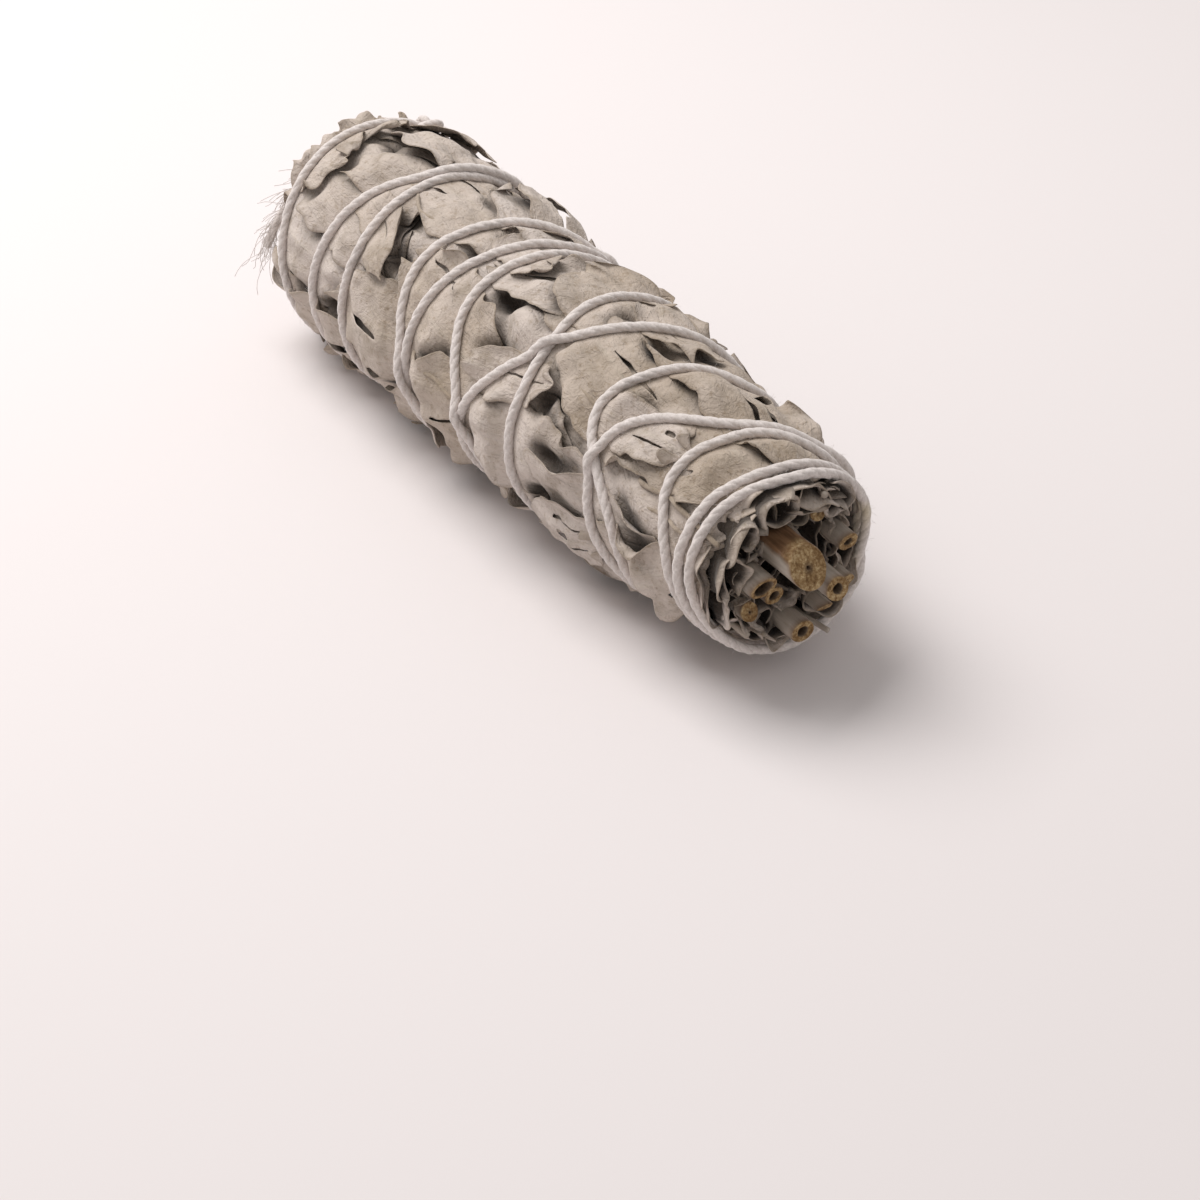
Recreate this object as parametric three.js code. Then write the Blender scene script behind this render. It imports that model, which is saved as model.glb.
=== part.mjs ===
// A hand-tied bundle of dried white sage, lying on its side.
// Millimetres, +Z up. The bundle runs along X: cut stems at +X, leaf tips at -X.
// Round the bundle, an angle of 0 is straight up and a quarter turn points to -Y.
import * as THREE from 'three';

// ---- Driving dimensions ----
const BUNDLE_LENGTH = 188; // the stretch that leaves cover
const TIP_RADIUS = 25; // leaf surface at the leaf-tip end
const MIDDLE_RADIUS = 23.7; // leaf surface half way along
const STEM_END_RADIUS = 19.5; // leaf surface where the stems come out
const TIP_ROUNDING = 20; // length over which the tip end rounds off
const TIP_DROP = 8; // how far the rounding comes in
const REST_FLAT = 1.6; // how far the underside is pressed flat
const REST_EDGE = 0.6; // softness of the flat's edges

const LEAF_THICKNESS = 0.8;
const LAYER_GAP = 1.0; // air between two layers of leaves, whose facets cut corners
const CLEARANCE = 0.3; // air between pieces that touch
const LEAF_LAYERS = 2;
const LEAVES_ROUND = 5;
const LEAF_SIDE_GAP = 1.6; // between neighbours in one layer
const LEAF_CELLS_ALONG = 8;
const LEAF_CELLS_ACROSS = 5;
const LEAF_BLUNTNESS = 0.6; // width of a leaf's end, as a share of its middle

const TWINE_DIAMETER = 2.2;
const TWINE_SIDES = 6;
const TWINE_STEP = 15; // degrees between two rings of the twine
const KNOT_ANGLE = -35;
const KNOT_FROM_TIP = 7;

const STEM_SIDES = 12;
const ROLL_OPENING = 40; // degrees left open in a rolled leaf

// ---- Values that follow ----
const HALF_LENGTH = BUNDLE_LENGTH / 2;
const LAYER_PITCH = LEAF_THICKNESS + LAYER_GAP;
const TWINE_RADIUS = TWINE_DIAMETER / 2;
const TWINE_CHORD = TIP_RADIUS * (1 - Math.cos((Math.PI / 360) * TWINE_STEP)); // facets cut in
const TWINE_SEAT = CLEARANCE + TWINE_CHORD + TWINE_RADIUS; // centre above the leaf surface
const TWINE_LIFT = TWINE_DIAMETER + CLEARANCE; // rise where one pass rides over another
const CORE_RADIUS = STEM_END_RADIUS - LEAF_LAYERS * LAYER_PITCH;
const CORE_SPREAD = (MIDDLE_RADIUS - STEM_END_RADIUS) / STEM_END_RADIUS;

const { clamp, degToRad, smoothstep, lerp } = THREE.MathUtils;

// ---- The bundle's outer form ----

// Radius of the leaf surface at a place along the bundle.
function surfaceRadius(x) {
  const fromTip = x + HALF_LENGTH;
  if (fromTip < TIP_ROUNDING) {
    const inwards = 1 - Math.sin((Math.PI / 2) * Math.max(fromTip / TIP_ROUNDING, 0));
    return TIP_RADIUS - TIP_DROP * inwards;
  }
  if (x < 0) {
    return lerp(TIP_RADIUS, MIDDLE_RADIUS, smoothstep(x, TIP_ROUNDING - HALF_LENGTH, 0));
  }
  return lerp(MIDDLE_RADIUS, STEM_END_RADIUS, smoothstep(x, 0, HALF_LENGTH));
}

// Distance from the axis to a surface that lies `offset` outside the leaf surface.
// The underside is pressed flat, and turns into the round sides over a soft edge.
function radiusAt(x, angle, offset) {
  const round = surfaceRadius(x) + offset;
  const downwards = -Math.cos(degToRad(angle));
  if (downwards <= 0) {
    return round;
  }
  const flat = (TIP_RADIUS - REST_FLAT + offset) / downwards;
  return round - REST_EDGE * Math.log(1 + Math.exp((round - flat) / REST_EDGE));
}

function place(x, angle, radius) {
  const turn = degToRad(angle);
  return new THREE.Vector3(x, -radius * Math.sin(turn), radius * Math.cos(turn));
}

// ---- Outer leaves: thin plates bent round the bundle ----

// Each row of leaves starts and ends at a share of the half length.
// The inner layer's joins fall under the middles of the outer layer's leaves.
const LEAF_ROWS = [
  { layer: 0, lean: 16, turned: 8, joins: [-1, -0.36, 0.33, 1] },
  { layer: 1, lean: -12, turned: 44, joins: [-0.97, -0.62, 0.03, 0.96] },
];

function leafGeometry(start, end, angle, lean, layer) {
  const length = end - start;
  const middle = (start + end) / 2;
  const geometry = new THREE.BoxGeometry(length, 1, 1, LEAF_CELLS_ALONG, LEAF_CELLS_ACROSS, 1);
  const vertices = geometry.attributes.position;
  for (let i = 0; i < vertices.count; i += 1) {
    const along = clamp((2 * vertices.getX(i)) / length, -1, 1);
    const outline = lerp(LEAF_BLUNTNESS, 1, Math.sqrt(1 - Math.abs(along) ** 3));
    const x = middle + vertices.getX(i);
    const sideGap = (LEAF_SIDE_GAP / surfaceRadius(x)) * (180 / Math.PI);
    const span = (360 / LEAVES_ROUND - sideGap) * outline;
    const turn = angle + lean * along - span * vertices.getY(i);
    const depth = layer * LAYER_PITCH + (vertices.getZ(i) < 0 ? LEAF_THICKNESS : 0);
    const point = place(x, turn, radiusAt(x, turn, -depth));
    vertices.setXYZ(i, point.x, point.y, point.z);
  }
  return geometry;
}

// ---- Stems and rolled inner leaves: the core ----

// Stems, placed by shares of the core's radius, as seen at the cut end.
// beyond: how far the cut end stands out of the leaves. reach: length inside them.
// bore: the hollow, as a share of the stem's radius. slant: how obliquely it is cut.
const STEMS = [
  { y: -0.24, z: 0.39, radius: 0.26, beyond: 9, reach: 150, bore: 0, slant: -0.55 },
  { y: -0.67, z: 0.05, radius: 0.19, beyond: 4, reach: 140, bore: 0.66, slant: 0.45 },
  { y: -0.74, z: -0.37, radius: 0.13, beyond: 1, reach: 120, bore: 0, slant: -0.3 },
  { y: 0.28, z: -0.12, radius: 0.17, beyond: 8, reach: 135, bore: 0.4, slant: -0.15 },
  { y: -0.09, z: -0.74, radius: 0.165, beyond: 5, reach: 130, bore: 0.45, slant: 0.1 },
  { y: 0.32, z: -0.58, radius: 0.105, beyond: 3, reach: 110, bore: 0, slant: 0.9 },
  { y: 0.68, z: 0.24, radius: 0.14, beyond: 2, reach: 125, bore: 0.4, slant: 0.3 },
  { y: 0.33, z: 0.68, radius: 0.12, beyond: -1, reach: 115, bore: 0, slant: -0.2 },
  { y: -0.33, z: -0.3, radius: 0.14, beyond: 0, reach: 125, bore: 0.5, slant: 0.2 },
  { y: 0.73, z: -0.39, radius: 0.115, beyond: 1, reach: 105, bore: 0, slant: 0.4 },
];

// Rolled leaves fill the room that the stems leave: a centre and the way each opens.
// Their ends are staggered: they stop short of the stem end, and of the rounded tip end.
const ROLLS = [
  { y: -0.58, z: 0.62, opens: 120, shortStem: 6, shortTip: 0 },
  { y: -0.09, z: -0.06, opens: 250, shortStem: 7, shortTip: 3 },
  { y: 0.27, z: 0.25, opens: 40, shortStem: 5, shortTip: 1 },
  { y: -0.06, z: 0.79, opens: 95, shortStem: 4, shortTip: 2 },
  { y: 0.65, z: 0.58, opens: 10, shortStem: 6, shortTip: 0 },
  { y: 0.8, z: -0.06, opens: 300, shortStem: 5, shortTip: 4 },
  { y: 0.05, z: -0.4, opens: 200, shortStem: 8, shortTip: 1 },
  { y: 0.55, z: -0.67, opens: 330, shortStem: 4, shortTip: 2 },
  { y: 0.2, z: -0.84, opens: 270, shortStem: 6, shortTip: 3 },
  { y: -0.43, z: -0.67, opens: 225, shortStem: 3, shortTip: 1 },
];

// Fans the core's pieces out towards the fatter leaf-tip end, without bending them.
function spreadOut(geometry, y, z) {
  const vertices = geometry.attributes.position;
  for (let i = 0; i < vertices.count; i += 1) {
    const spread = CORE_SPREAD * ((HALF_LENGTH - vertices.getX(i)) / HALF_LENGTH) * 0.5;
    vertices.setY(i, vertices.getY(i) + y * spread);
    vertices.setZ(i, vertices.getZ(i) + z * spread);
  }
  return geometry;
}

// Extrudes a cross-section from one place along the bundle to another.
function alongBundle(shape, start, end, y, z, curveSegments) {
  const options = { depth: end - start, bevelEnabled: false, curveSegments };
  const geometry = new THREE.ExtrudeGeometry(shape, options);
  geometry.rotateY(Math.PI / 2);
  geometry.translate(start, y, z);
  return geometry;
}

function stemGeometry(stem) {
  const y = stem.y * CORE_RADIUS;
  const z = stem.z * CORE_RADIUS;
  const radius = stem.radius * CORE_RADIUS;
  const shape = new THREE.Shape();
  shape.absarc(0, 0, radius, 0, 2 * Math.PI, false);
  if (stem.bore > 0) {
    const bore = new THREE.Path();
    bore.absarc(0, 0, radius * stem.bore, 0, 2 * Math.PI, true);
    shape.holes.push(bore);
  }
  const start = HALF_LENGTH - stem.reach;
  const end = HALF_LENGTH + stem.beyond;
  const geometry = alongBundle(shape, start, end, y, z, STEM_SIDES / 2);
  const vertices = geometry.attributes.position;
  for (let i = 0; i < vertices.count; i += 1) {
    if (vertices.getX(i) > (start + end) / 2) {
      vertices.setX(i, vertices.getX(i) + stem.slant * (vertices.getZ(i) - z));
    }
  }
  return spreadOut(geometry, y, z);
}

// The largest radius that fits between what is already in the core.
function roomFor(y, z, taken) {
  const gaps = taken.map((piece) => Math.hypot(y - piece.y, z - piece.z) - piece.radius);
  return Math.min(CORE_RADIUS - Math.hypot(y, z), ...gaps) - CLEARANCE;
}

function rollGeometry(roll, radius) {
  const y = roll.y * CORE_RADIUS;
  const z = roll.z * CORE_RADIUS;
  const from = degToRad(roll.opens + ROLL_OPENING / 2);
  const to = degToRad(roll.opens + 360 - ROLL_OPENING / 2);
  const shape = new THREE.Shape();
  shape.absarc(0, 0, radius, from, to, false);
  shape.absarc(0, 0, radius - LEAF_THICKNESS, to, from, true);
  const start = TIP_ROUNDING / 2 + roll.shortTip - HALF_LENGTH;
  const end = HALF_LENGTH - roll.shortStem;
  return spreadOut(alongBundle(shape, start, end, y, z, 6), y, z);
}

// ---- Twine ----

// The route, as places along the bundle every eighth of a turn, one line for each turn,
// starting an eighth of a turn before the top. It is laid out for a bundle of this length.
const ROUTE_LENGTH = 188;
const ROUTE = [
  [-87, -87.5, -87, -85, -81, -77, -71.5, -61],
  [-50.5, -53, -52, -54, -53.5, -50, -42, -28],
  [-13, -14.5, -20, -22.5, -24, -26, -20, 0],
  [18, 18, 22, 24.5, 25, 27, 34, 47],
  [58, 49, 45, 61, 64, 67, 73, 79],
  [82, 75, 72, 80, 84, 84.5, 84.5, 86],
  [88, 88, 84, 83.5, 87, 87.5, 87.5, 89],
  [91, 91.5, 87.5, 87, 90.5, 91, 90, 85],
  [80, 71, 53, 53, 61, 60, 54, 46],
  [40, 31, 18, 4, 0, 0.5, 0, -3],
  [-5, -8, -8, 3.5, 9, 8, 5, -9],
  [-18, -27.5, -30.5, -23.5, -17.5, -15.5, -22, -38],
  [-48.5, -55, -64, -69, -67, -66.5, -69, -77],
  [-86, -87, -87],
];
const ROUTE_FIRST_ANGLE = -45;
const ROUTE_STATION = 45;
const ROUTE_STATIONS = ROUTE.flat().map((x) => (x * BUNDLE_LENGTH) / ROUTE_LENGTH);

// Place along the bundle at a running angle, smoothly through the stations.
function routeX(angle) {
  const at = (angle - ROUTE_FIRST_ANGLE) / ROUTE_STATION;
  const index = Math.min(Math.max(Math.floor(at), 0), ROUTE_STATIONS.length - 2);
  const t = at - index;
  const last = ROUTE_STATIONS.length - 1;
  const before = ROUTE_STATIONS[Math.max(index - 1, 0)];
  const from = ROUTE_STATIONS[index];
  const to = ROUTE_STATIONS[index + 1];
  const after = ROUTE_STATIONS[Math.min(index + 2, last)];
  const slopeFrom = (to - before) / 2;
  const slopeTo = (after - from) / 2;
  const curve = 2 * (from - to) + slopeFrom + slopeTo;
  const bend = 3 * (to - from) - 2 * slopeFrom - slopeTo;
  return ((curve * t + bend) * t + slopeFrom) * t + from;
}

// How far a pass stands off its seat: it rides over every earlier pass it crosses.
function routeLift(angle) {
  const reach = 1.8 * TWINE_LIFT;
  const x = routeX(angle);
  let lift = 0;
  for (let earlier = angle - 360; earlier >= TWINE_START; earlier -= 360) {
    const apart = Math.abs(x - routeX(earlier));
    if (apart < reach) {
      const share = Math.cos((Math.PI / 2) * (apart / reach)) ** 2;
      lift = Math.max(lift, share * (TWINE_LIFT + routeLift(earlier)));
    }
  }
  return lift;
}

// The knot is a trefoil pulled tight. It lies flat on the leaves, where they round off.
const KNOT_X = KNOT_FROM_TIP - HALF_LENGTH;
const KNOT_LOOP = 1.0 * TWINE_DIAMETER; // middle radius of its loops
const KNOT_STRAND = 0.43 * TWINE_DIAMETER; // the twine is pulled thin in it
const KNOT_REACH = 1.5 * KNOT_LOOP + KNOT_STRAND;
const KNOT_SIDE_REACH = 1.5 * KNOT_LOOP * Math.sin(Math.PI / 3) + KNOT_STRAND;
const KNOT_HEIGHT = 0.5 * KNOT_LOOP + KNOT_STRAND;
const KNOT_SURFACE = surfaceRadius(KNOT_X);
const KNOT_SLOPE = (surfaceRadius(KNOT_X + 1) - surfaceRadius(KNOT_X - 1)) / 2;
const KNOT_CLEAR = ((KNOT_SIDE_REACH + CLEARANCE) / KNOT_SURFACE) * (180 / Math.PI);
const TWINE_START = KNOT_ANGLE + KNOT_CLEAR;
const TWINE_END = KNOT_ANGLE + 360 * (ROUTE.length - 1) - KNOT_CLEAR;

class TwineRoute extends THREE.Curve {
  getPoint(t, target = new THREE.Vector3()) {
    const angle = lerp(TWINE_START, TWINE_END, t);
    const x = routeX(angle);
    return target.copy(place(x, angle, radiusAt(x, angle, TWINE_SEAT) + routeLift(angle)));
  }
}

function cordGeometry(path, steps, sides, radius) {
  const section = new THREE.Shape();
  section.absarc(0, 0, radius, 0, 2 * Math.PI, false);
  const options = { steps, extrudePath: path, curveSegments: sides / 2, bevelEnabled: false };
  return new THREE.ExtrudeGeometry(section, options);
}

function wrapGeometry() {
  const path = new TwineRoute();
  const steps = Math.round((TWINE_END - TWINE_START) / TWINE_STEP);
  path.arcLengthDivisions = 8 * steps;
  return cordGeometry(path, steps, TWINE_SIDES, TWINE_RADIUS);
}

// Takes what is drawn flat round the knot's middle to the knot's place on the bundle.
function seatKnot(item) {
  const turned = new THREE.Matrix4().makeRotationX(degToRad(KNOT_ANGLE));
  const seat = new THREE.Matrix4().makeTranslation(KNOT_X, 0, KNOT_SURFACE);
  const tilt = new THREE.Matrix4().makeRotationY(-Math.atan(KNOT_SLOPE));
  const rise = new THREE.Matrix4().makeTranslation(0, 0, KNOT_HEIGHT + CLEARANCE);
  return item.applyMatrix4(turned.multiply(seat).multiply(tilt).multiply(rise));
}

function knotGeometry() {
  const geometry = new THREE.TorusKnotGeometry(KNOT_LOOP, KNOT_STRAND, 40, 6, 2, 3);
  return seatKnot(geometry.rotateZ(Math.PI));
}

// The loose end leaves the knot towards the tips and hangs down over the end of the bundle.
// Its points are measured from the place where it leaves the knot.
const TAIL_ROUTE = [
  [0, 0, 0],
  [-3.4, -1.4, -1.4],
  [-6.2, -5.6, -1.4],
  [-7.4, -12.1, -1.9],
  [-7.5, -20.1, -3.9],
  [-7.5, -27.1, -7.9],
  [-7.7, -32.6, -13.9],
  [-8.4, -36.1, -20.9],
];
const TAIL_STEPS = 14;
const TAIL_SIDES = 8;

function tailGeometry() {
  const exit = seatKnot(new THREE.Vector3(-KNOT_REACH - CLEARANCE, 0, 0));
  const points = TAIL_ROUTE.map((point) => new THREE.Vector3(...point).add(exit));
  return cordGeometry(new THREE.CatmullRomCurve3(points), TAIL_STEPS, TAIL_SIDES, TWINE_RADIUS);
}

// ---- Assembly ----

const bundle = new THREE.Group();

function add(name, geometry, color, roughness) {
  const material = new THREE.MeshStandardMaterial({ color, roughness, metalness: 0 });
  const mesh = new THREE.Mesh(geometry, material);
  mesh.name = name;
  bundle.add(mesh);
}

function numbered(name, index) {
  return `${name}_${String(index + 1).padStart(2, '0')}`;
}

let leafCount = 0;
for (const { layer, lean, turned, joins } of LEAF_ROWS) {
  for (let row = 0; row + 1 < joins.length; row += 1) {
    const start = joins[row] * HALF_LENGTH + LEAF_SIDE_GAP / 2;
    const end = joins[row + 1] * HALF_LENGTH - LEAF_SIDE_GAP / 2;
    for (let i = 0; i < LEAVES_ROUND; i += 1) {
      const angle = turned + (360 / LEAVES_ROUND) * (i + row / 2);
      const geometry = leafGeometry(start, end, angle, lean, layer);
      add(numbered('outer_leaf', leafCount), geometry, '#a89c90', 0.95);
      leafCount += 1;
    }
  }
}

const core = STEMS.map((stem) => ({
  y: stem.y * CORE_RADIUS,
  z: stem.z * CORE_RADIUS,
  radius: stem.radius * CORE_RADIUS,
}));

STEMS.forEach((stem, i) => {
  add(numbered('stem', i), stemGeometry(stem), '#a8927a', 0.9);
});

ROLLS.forEach((roll, i) => {
  const y = roll.y * CORE_RADIUS;
  const z = roll.z * CORE_RADIUS;
  const radius = roomFor(y, z, core);
  core.push({ y, z, radius });
  add(numbered('inner_leaf', i), rollGeometry(roll, radius), '#8f8478', 0.95);
});

add('twine_wrap', wrapGeometry(), '#d9d0cb', 0.9);
add('twine_knot', knotGeometry(), '#d9d0cb', 0.9);

// The origin is under the middle of the bundle, without its loose end.
const box = new THREE.Box3().setFromObject(bundle);
const middle = box.getCenter(new THREE.Vector3());
add('twine_tail', tailGeometry(), '#d9d0cb', 0.9);
bundle.position.set(-middle.x, -middle.y, -box.min.z);

export default bundle;
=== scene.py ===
"""A hand-tied bundle of dried white sage, lying on its side. Metres, +Z up, cut stems at +X."""
import math
import random
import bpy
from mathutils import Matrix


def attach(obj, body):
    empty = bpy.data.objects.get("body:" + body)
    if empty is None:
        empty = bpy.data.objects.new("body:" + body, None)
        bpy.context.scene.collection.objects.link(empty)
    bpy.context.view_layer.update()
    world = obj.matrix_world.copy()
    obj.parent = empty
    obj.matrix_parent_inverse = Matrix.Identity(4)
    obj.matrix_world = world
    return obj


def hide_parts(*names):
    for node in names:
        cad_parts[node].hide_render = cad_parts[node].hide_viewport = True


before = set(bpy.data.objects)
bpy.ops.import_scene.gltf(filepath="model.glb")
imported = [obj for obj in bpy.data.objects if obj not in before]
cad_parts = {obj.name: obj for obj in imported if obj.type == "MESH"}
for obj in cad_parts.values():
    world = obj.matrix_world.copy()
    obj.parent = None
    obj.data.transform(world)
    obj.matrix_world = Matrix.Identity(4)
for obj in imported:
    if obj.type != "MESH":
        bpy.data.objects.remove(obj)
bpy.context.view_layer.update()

import bmesh
import bpy
import numpy as np
from mathutils import Matrix, Vector, noise

MM = 0.001

# ---- The bundle's frame ----
# Along the bundle, places run from -HALF_LENGTH at the leaf tips to +HALF_LENGTH at the cut stems.
# Round the bundle, an angle of 0 is straight up and a quarter turn points to -Y.
AXIS = Vector((-6.04 * MM, 0.26 * MM, 26.06 * MM))
HALF_LENGTH = 94 * MM
TIP_RADIUS = 25 * MM
MIDDLE_RADIUS = 23.7 * MM
STEM_END_RADIUS = 19.5 * MM
SHOULDER = 11 * MM  # rounding of the leaf-tip end
BASE_DROP = 0.9 * MM  # the first leaf lies this far under the frame's leaf surface
LEAF_REST = 2.4 * MM  # the lowest leaves lie on the twine, this far above the floor

TWINE_RADIUS = 1.1 * MM
TWINE_PITCH = 9.0 * MM  # length in which its strands turn once
TWINE_LIFT = 1.9 * MM  # rise where one pass rides over another
TWINE_BITE = 0.3 * MM  # how far it sinks into the leaves
KNOT_ANGLE = -35.0
KNOT_PLACE = -87 * MM

MEAN_RADIUS = 24 * MM  # turns an angle round the flank into a length
GOLDEN_TURN = 2.39996  # spreads leaves evenly round the bundle, in radians

LEAF_THICKNESS = 0.34 * MM
STAND_OFF = 3.2 * MM  # from this height on the leaves hardly stand off
SOFT_LIMIT = 1.3 * MM  # and this is how softly such limits set in
PILLOW = 2.3 * MM  # how far the leaves swell out between passes of the twine

# ---- Camera: the near side, from above, towards the leaf tips ----
CAMERA_AZIMUTH = math.radians(59)
CAMERA_ELEVATION = math.radians(32.7)
CAMERA_DISTANCE = 0.630
CAMERA_LENS = 85
LOOK_RIGHT = 9.3 * MM  # the frame's middle lies to the right of the bundle's middle
LOOK_DOWN = 49.8 * MM  # and below it


def make_camera():
    """The camera, with the bundle placed left of the middle and high in the frame."""
    data = bpy.data.cameras.new("camera")
    data.lens = CAMERA_LENS
    data.clip_start = 0.01
    camera = bpy.data.objects.new("camera", data)
    bpy.context.scene.collection.objects.link(camera)
    turn, rise = CAMERA_AZIMUTH, CAMERA_ELEVATION
    back = Vector((math.sin(turn) * math.cos(rise), -math.cos(turn) * math.cos(rise), math.sin(rise)))
    right = Vector((math.cos(turn), math.sin(turn), 0))
    upwards = back.cross(right)
    camera.location = AXIS + back * CAMERA_DISTANCE + right * LOOK_RIGHT - upwards * LOOK_DOWN
    camera.rotation_mode = "QUATERNION"
    camera.rotation_quaternion = (-back).to_track_quat("-Z", "Y")
    bpy.context.scene.camera = camera


make_camera()

# ---- The bundle's surface ----


def smoothstep(low, high, value):
    t = np.clip((value - low) / (high - low), 0, 1)
    return t * t * (3 - 2 * t)


def flank_radius(x):
    """Radius of the first layer of leaves, before the tip end rounds off."""
    tip_side = TIP_RADIUS + (MIDDLE_RADIUS - TIP_RADIUS) * smoothstep(-70 * MM, 0, x)
    stem_side = MIDDLE_RADIUS + (STEM_END_RADIUS - MIDDLE_RADIUS) * smoothstep(0, HALF_LENGTH, x)
    return np.where(x < 0, tip_side, stem_side) - BASE_DROP


# A run along the surface: down the flank from the stem end, over the shoulder at the tip end,
# and in over the end face. run is its length, negative towards the leaf tips.
SHOULDER_START = SHOULDER - HALF_LENGTH - 1 * MM
RUN_LOW = SHOULDER_START - SHOULDER * math.pi / 2 - 11 * MM
RUN_HIGH = HALF_LENGTH + 6 * MM
RUNS = np.arange(RUN_LOW, RUN_HIGH, 1 * MM)
ANGLE_STEPS = 160


def make_profile():
    """Place along the axis, radius and outward direction for each step of the run."""
    turned = np.clip((SHOULDER_START - RUNS) / SHOULDER, 0, math.pi / 2)
    inwards = np.clip(SHOULDER_START - SHOULDER * math.pi / 2 - RUNS, 0, None)
    x = np.maximum(RUNS, SHOULDER_START) - SHOULDER * np.sin(turned)
    radius = flank_radius(x) - SHOULDER * (1 - np.cos(turned)) - inwards
    return x, radius, -np.sin(turned), np.cos(turned)


PROFILE_X, PROFILE_RADIUS, OUT_X, OUT_RADIUS = make_profile()


def round_axis(x, radius, angle):
    """Points in the part's frame at a place along the axis, a radius and an angle round it."""
    return np.stack(
        [AXIS.x + x, AXIS.y - radius * np.sin(angle), AXIS.z + radius * np.cos(angle)], axis=-1
    )


def on_surface(run, angle, height, rest=LEAF_REST):
    """Points in the part's frame at a height above the first layer. Angles in radians.

    Underneath, everything is pressed flat at the height rest above the floor.
    """
    x = np.interp(run, RUNS, PROFILE_X) + height * np.interp(run, RUNS, OUT_X)
    radius = np.interp(run, RUNS, PROFILE_RADIUS) + height * np.interp(run, RUNS, OUT_RADIUS)
    downwards = np.maximum(-np.cos(angle), 0.05)
    flat = (AXIS.z - rest) / downwards
    edge = 0.5 * MM
    pressed = radius - edge * np.log1p(np.exp(np.clip((radius - flat) / edge, -40, 40)))
    radius = np.where(np.cos(angle) < 0, pressed, radius)
    return round_axis(x, radius, angle)


# Fields over the surface: one row for each step of the run, one column for each angle.


def grid_place(run, angle):
    row = np.clip((run - RUNS[0]) / (RUNS[1] - RUNS[0]), 0, len(RUNS) - 1.001)
    column = (angle / (2 * math.pi) * ANGLE_STEPS) % ANGLE_STEPS
    return row, column


def sample(field, run, angle):
    row, column = grid_place(run, angle)
    r0, c0 = row.astype(int), column.astype(int) % ANGLE_STEPS
    fr, fc = row - r0, column - column.astype(int)
    c1 = (c0 + 1) % ANGLE_STEPS
    low = field[r0, c0] * (1 - fc) + field[r0, c1] * fc
    high = field[r0 + 1, c0] * (1 - fc) + field[r0 + 1, c1] * fc
    return low * (1 - fr) + high * fr


def blurred(field, steps):
    """A Gaussian blur with that many grid steps of spread. A grid step is about 1 mm."""
    reach = int(3 * steps)
    offsets = np.arange(-reach, reach + 1)
    weights = np.exp(-0.5 * (offsets / steps) ** 2)
    weights /= weights.sum()
    padded = np.pad(field, ((reach, reach), (0, 0)), mode="edge")
    rows = sum(w * padded[reach + o : reach + o + len(field)] for o, w in zip(offsets, weights))
    return sum(w * np.roll(rows, o, axis=1) for o, w in zip(offsets, weights))


def spread(field, steps):
    """The highest value within that many grid steps."""
    result = field
    for _ in range(steps):
        padded = np.pad(result, ((1, 1), (0, 0)), mode="edge")
        rows = np.maximum(np.maximum(padded[:-2], padded[2:]), result)
        result = np.maximum(np.maximum(np.roll(rows, 1, axis=1), np.roll(rows, -1, axis=1)), rows)
    return result


ANGLES = np.arange(ANGLE_STEPS) / ANGLE_STEPS * 2 * math.pi

# ---- The twine's route ----
# Places along the bundle every eighth of a turn, one line for each turn, in millimetres,
# starting an eighth of a turn before the top: the same route as the part's twine.
ROUTE = [
    [-87, -87.5, -87, -85, -81, -77, -71.5, -61],
    [-50.5, -53, -52, -54, -53.5, -50, -42, -28],
    [-13, -14.5, -20, -22.5, -24, -26, -20, 0],
    [18, 18, 22, 24.5, 25, 27, 34, 47],
    [58, 49, 45, 61, 64, 67, 73, 79],
    [82, 75, 72, 80, 84, 84.5, 84.5, 86],
    [88, 88, 84, 83.5, 87, 87.5, 87.5, 89],
    [91, 91.5, 87.5, 87, 90.5, 91, 90, 85],
    [80, 71, 53, 53, 61, 60, 54, 46],
    [40, 31, 18, 4, 0, 0.5, 0, -3],
    [-5, -8, -8, 3.5, 9, 8, 5, -9],
    [-18, -27.5, -30.5, -23.5, -17.5, -15.5, -22, -38],
    [-48.5, -55, -64, -69, -67, -66.5, -69, -77],
    [-86, -87, -87],
]
STATIONS = np.array([place for turn in ROUTE for place in turn]) * MM
TWINE_START = KNOT_ANGLE + 4
TWINE_END = KNOT_ANGLE + 360 * (len(ROUTE) - 1) - 4


def smoothly_through(stops, at):
    """A smooth way through a row of stops, at places counted in stops from the first one."""
    last = len(stops) - 1
    index = np.clip(np.floor(at).astype(int), 0, last - 1)
    t = at - index
    if stops.ndim > 1:
        t = t[:, None]
    before, after = stops[np.maximum(index - 1, 0)], stops[np.minimum(index + 2, last)]
    start, end = stops[index], stops[index + 1]
    slope_start, slope_end = (end - before) / 2, (after - start) / 2
    cubic = 2 * (start - end) + slope_start + slope_end
    square = 3 * (end - start) - 2 * slope_start - slope_end
    return ((cubic * t + square) * t + slope_start) * t + start


def route_place(angle):
    """Place along the bundle at a running angle in degrees."""
    return smoothly_through(STATIONS, (np.asarray(angle, dtype=float) + 45) / 45)


def run_of(x):
    """The run along the surface at a place along the bundle."""
    beyond = np.clip((SHOULDER_START - x) / SHOULDER, 0, 0.999)
    return np.where(x < SHOULDER_START, SHOULDER_START - SHOULDER * np.arcsin(beyond), x)


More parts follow.
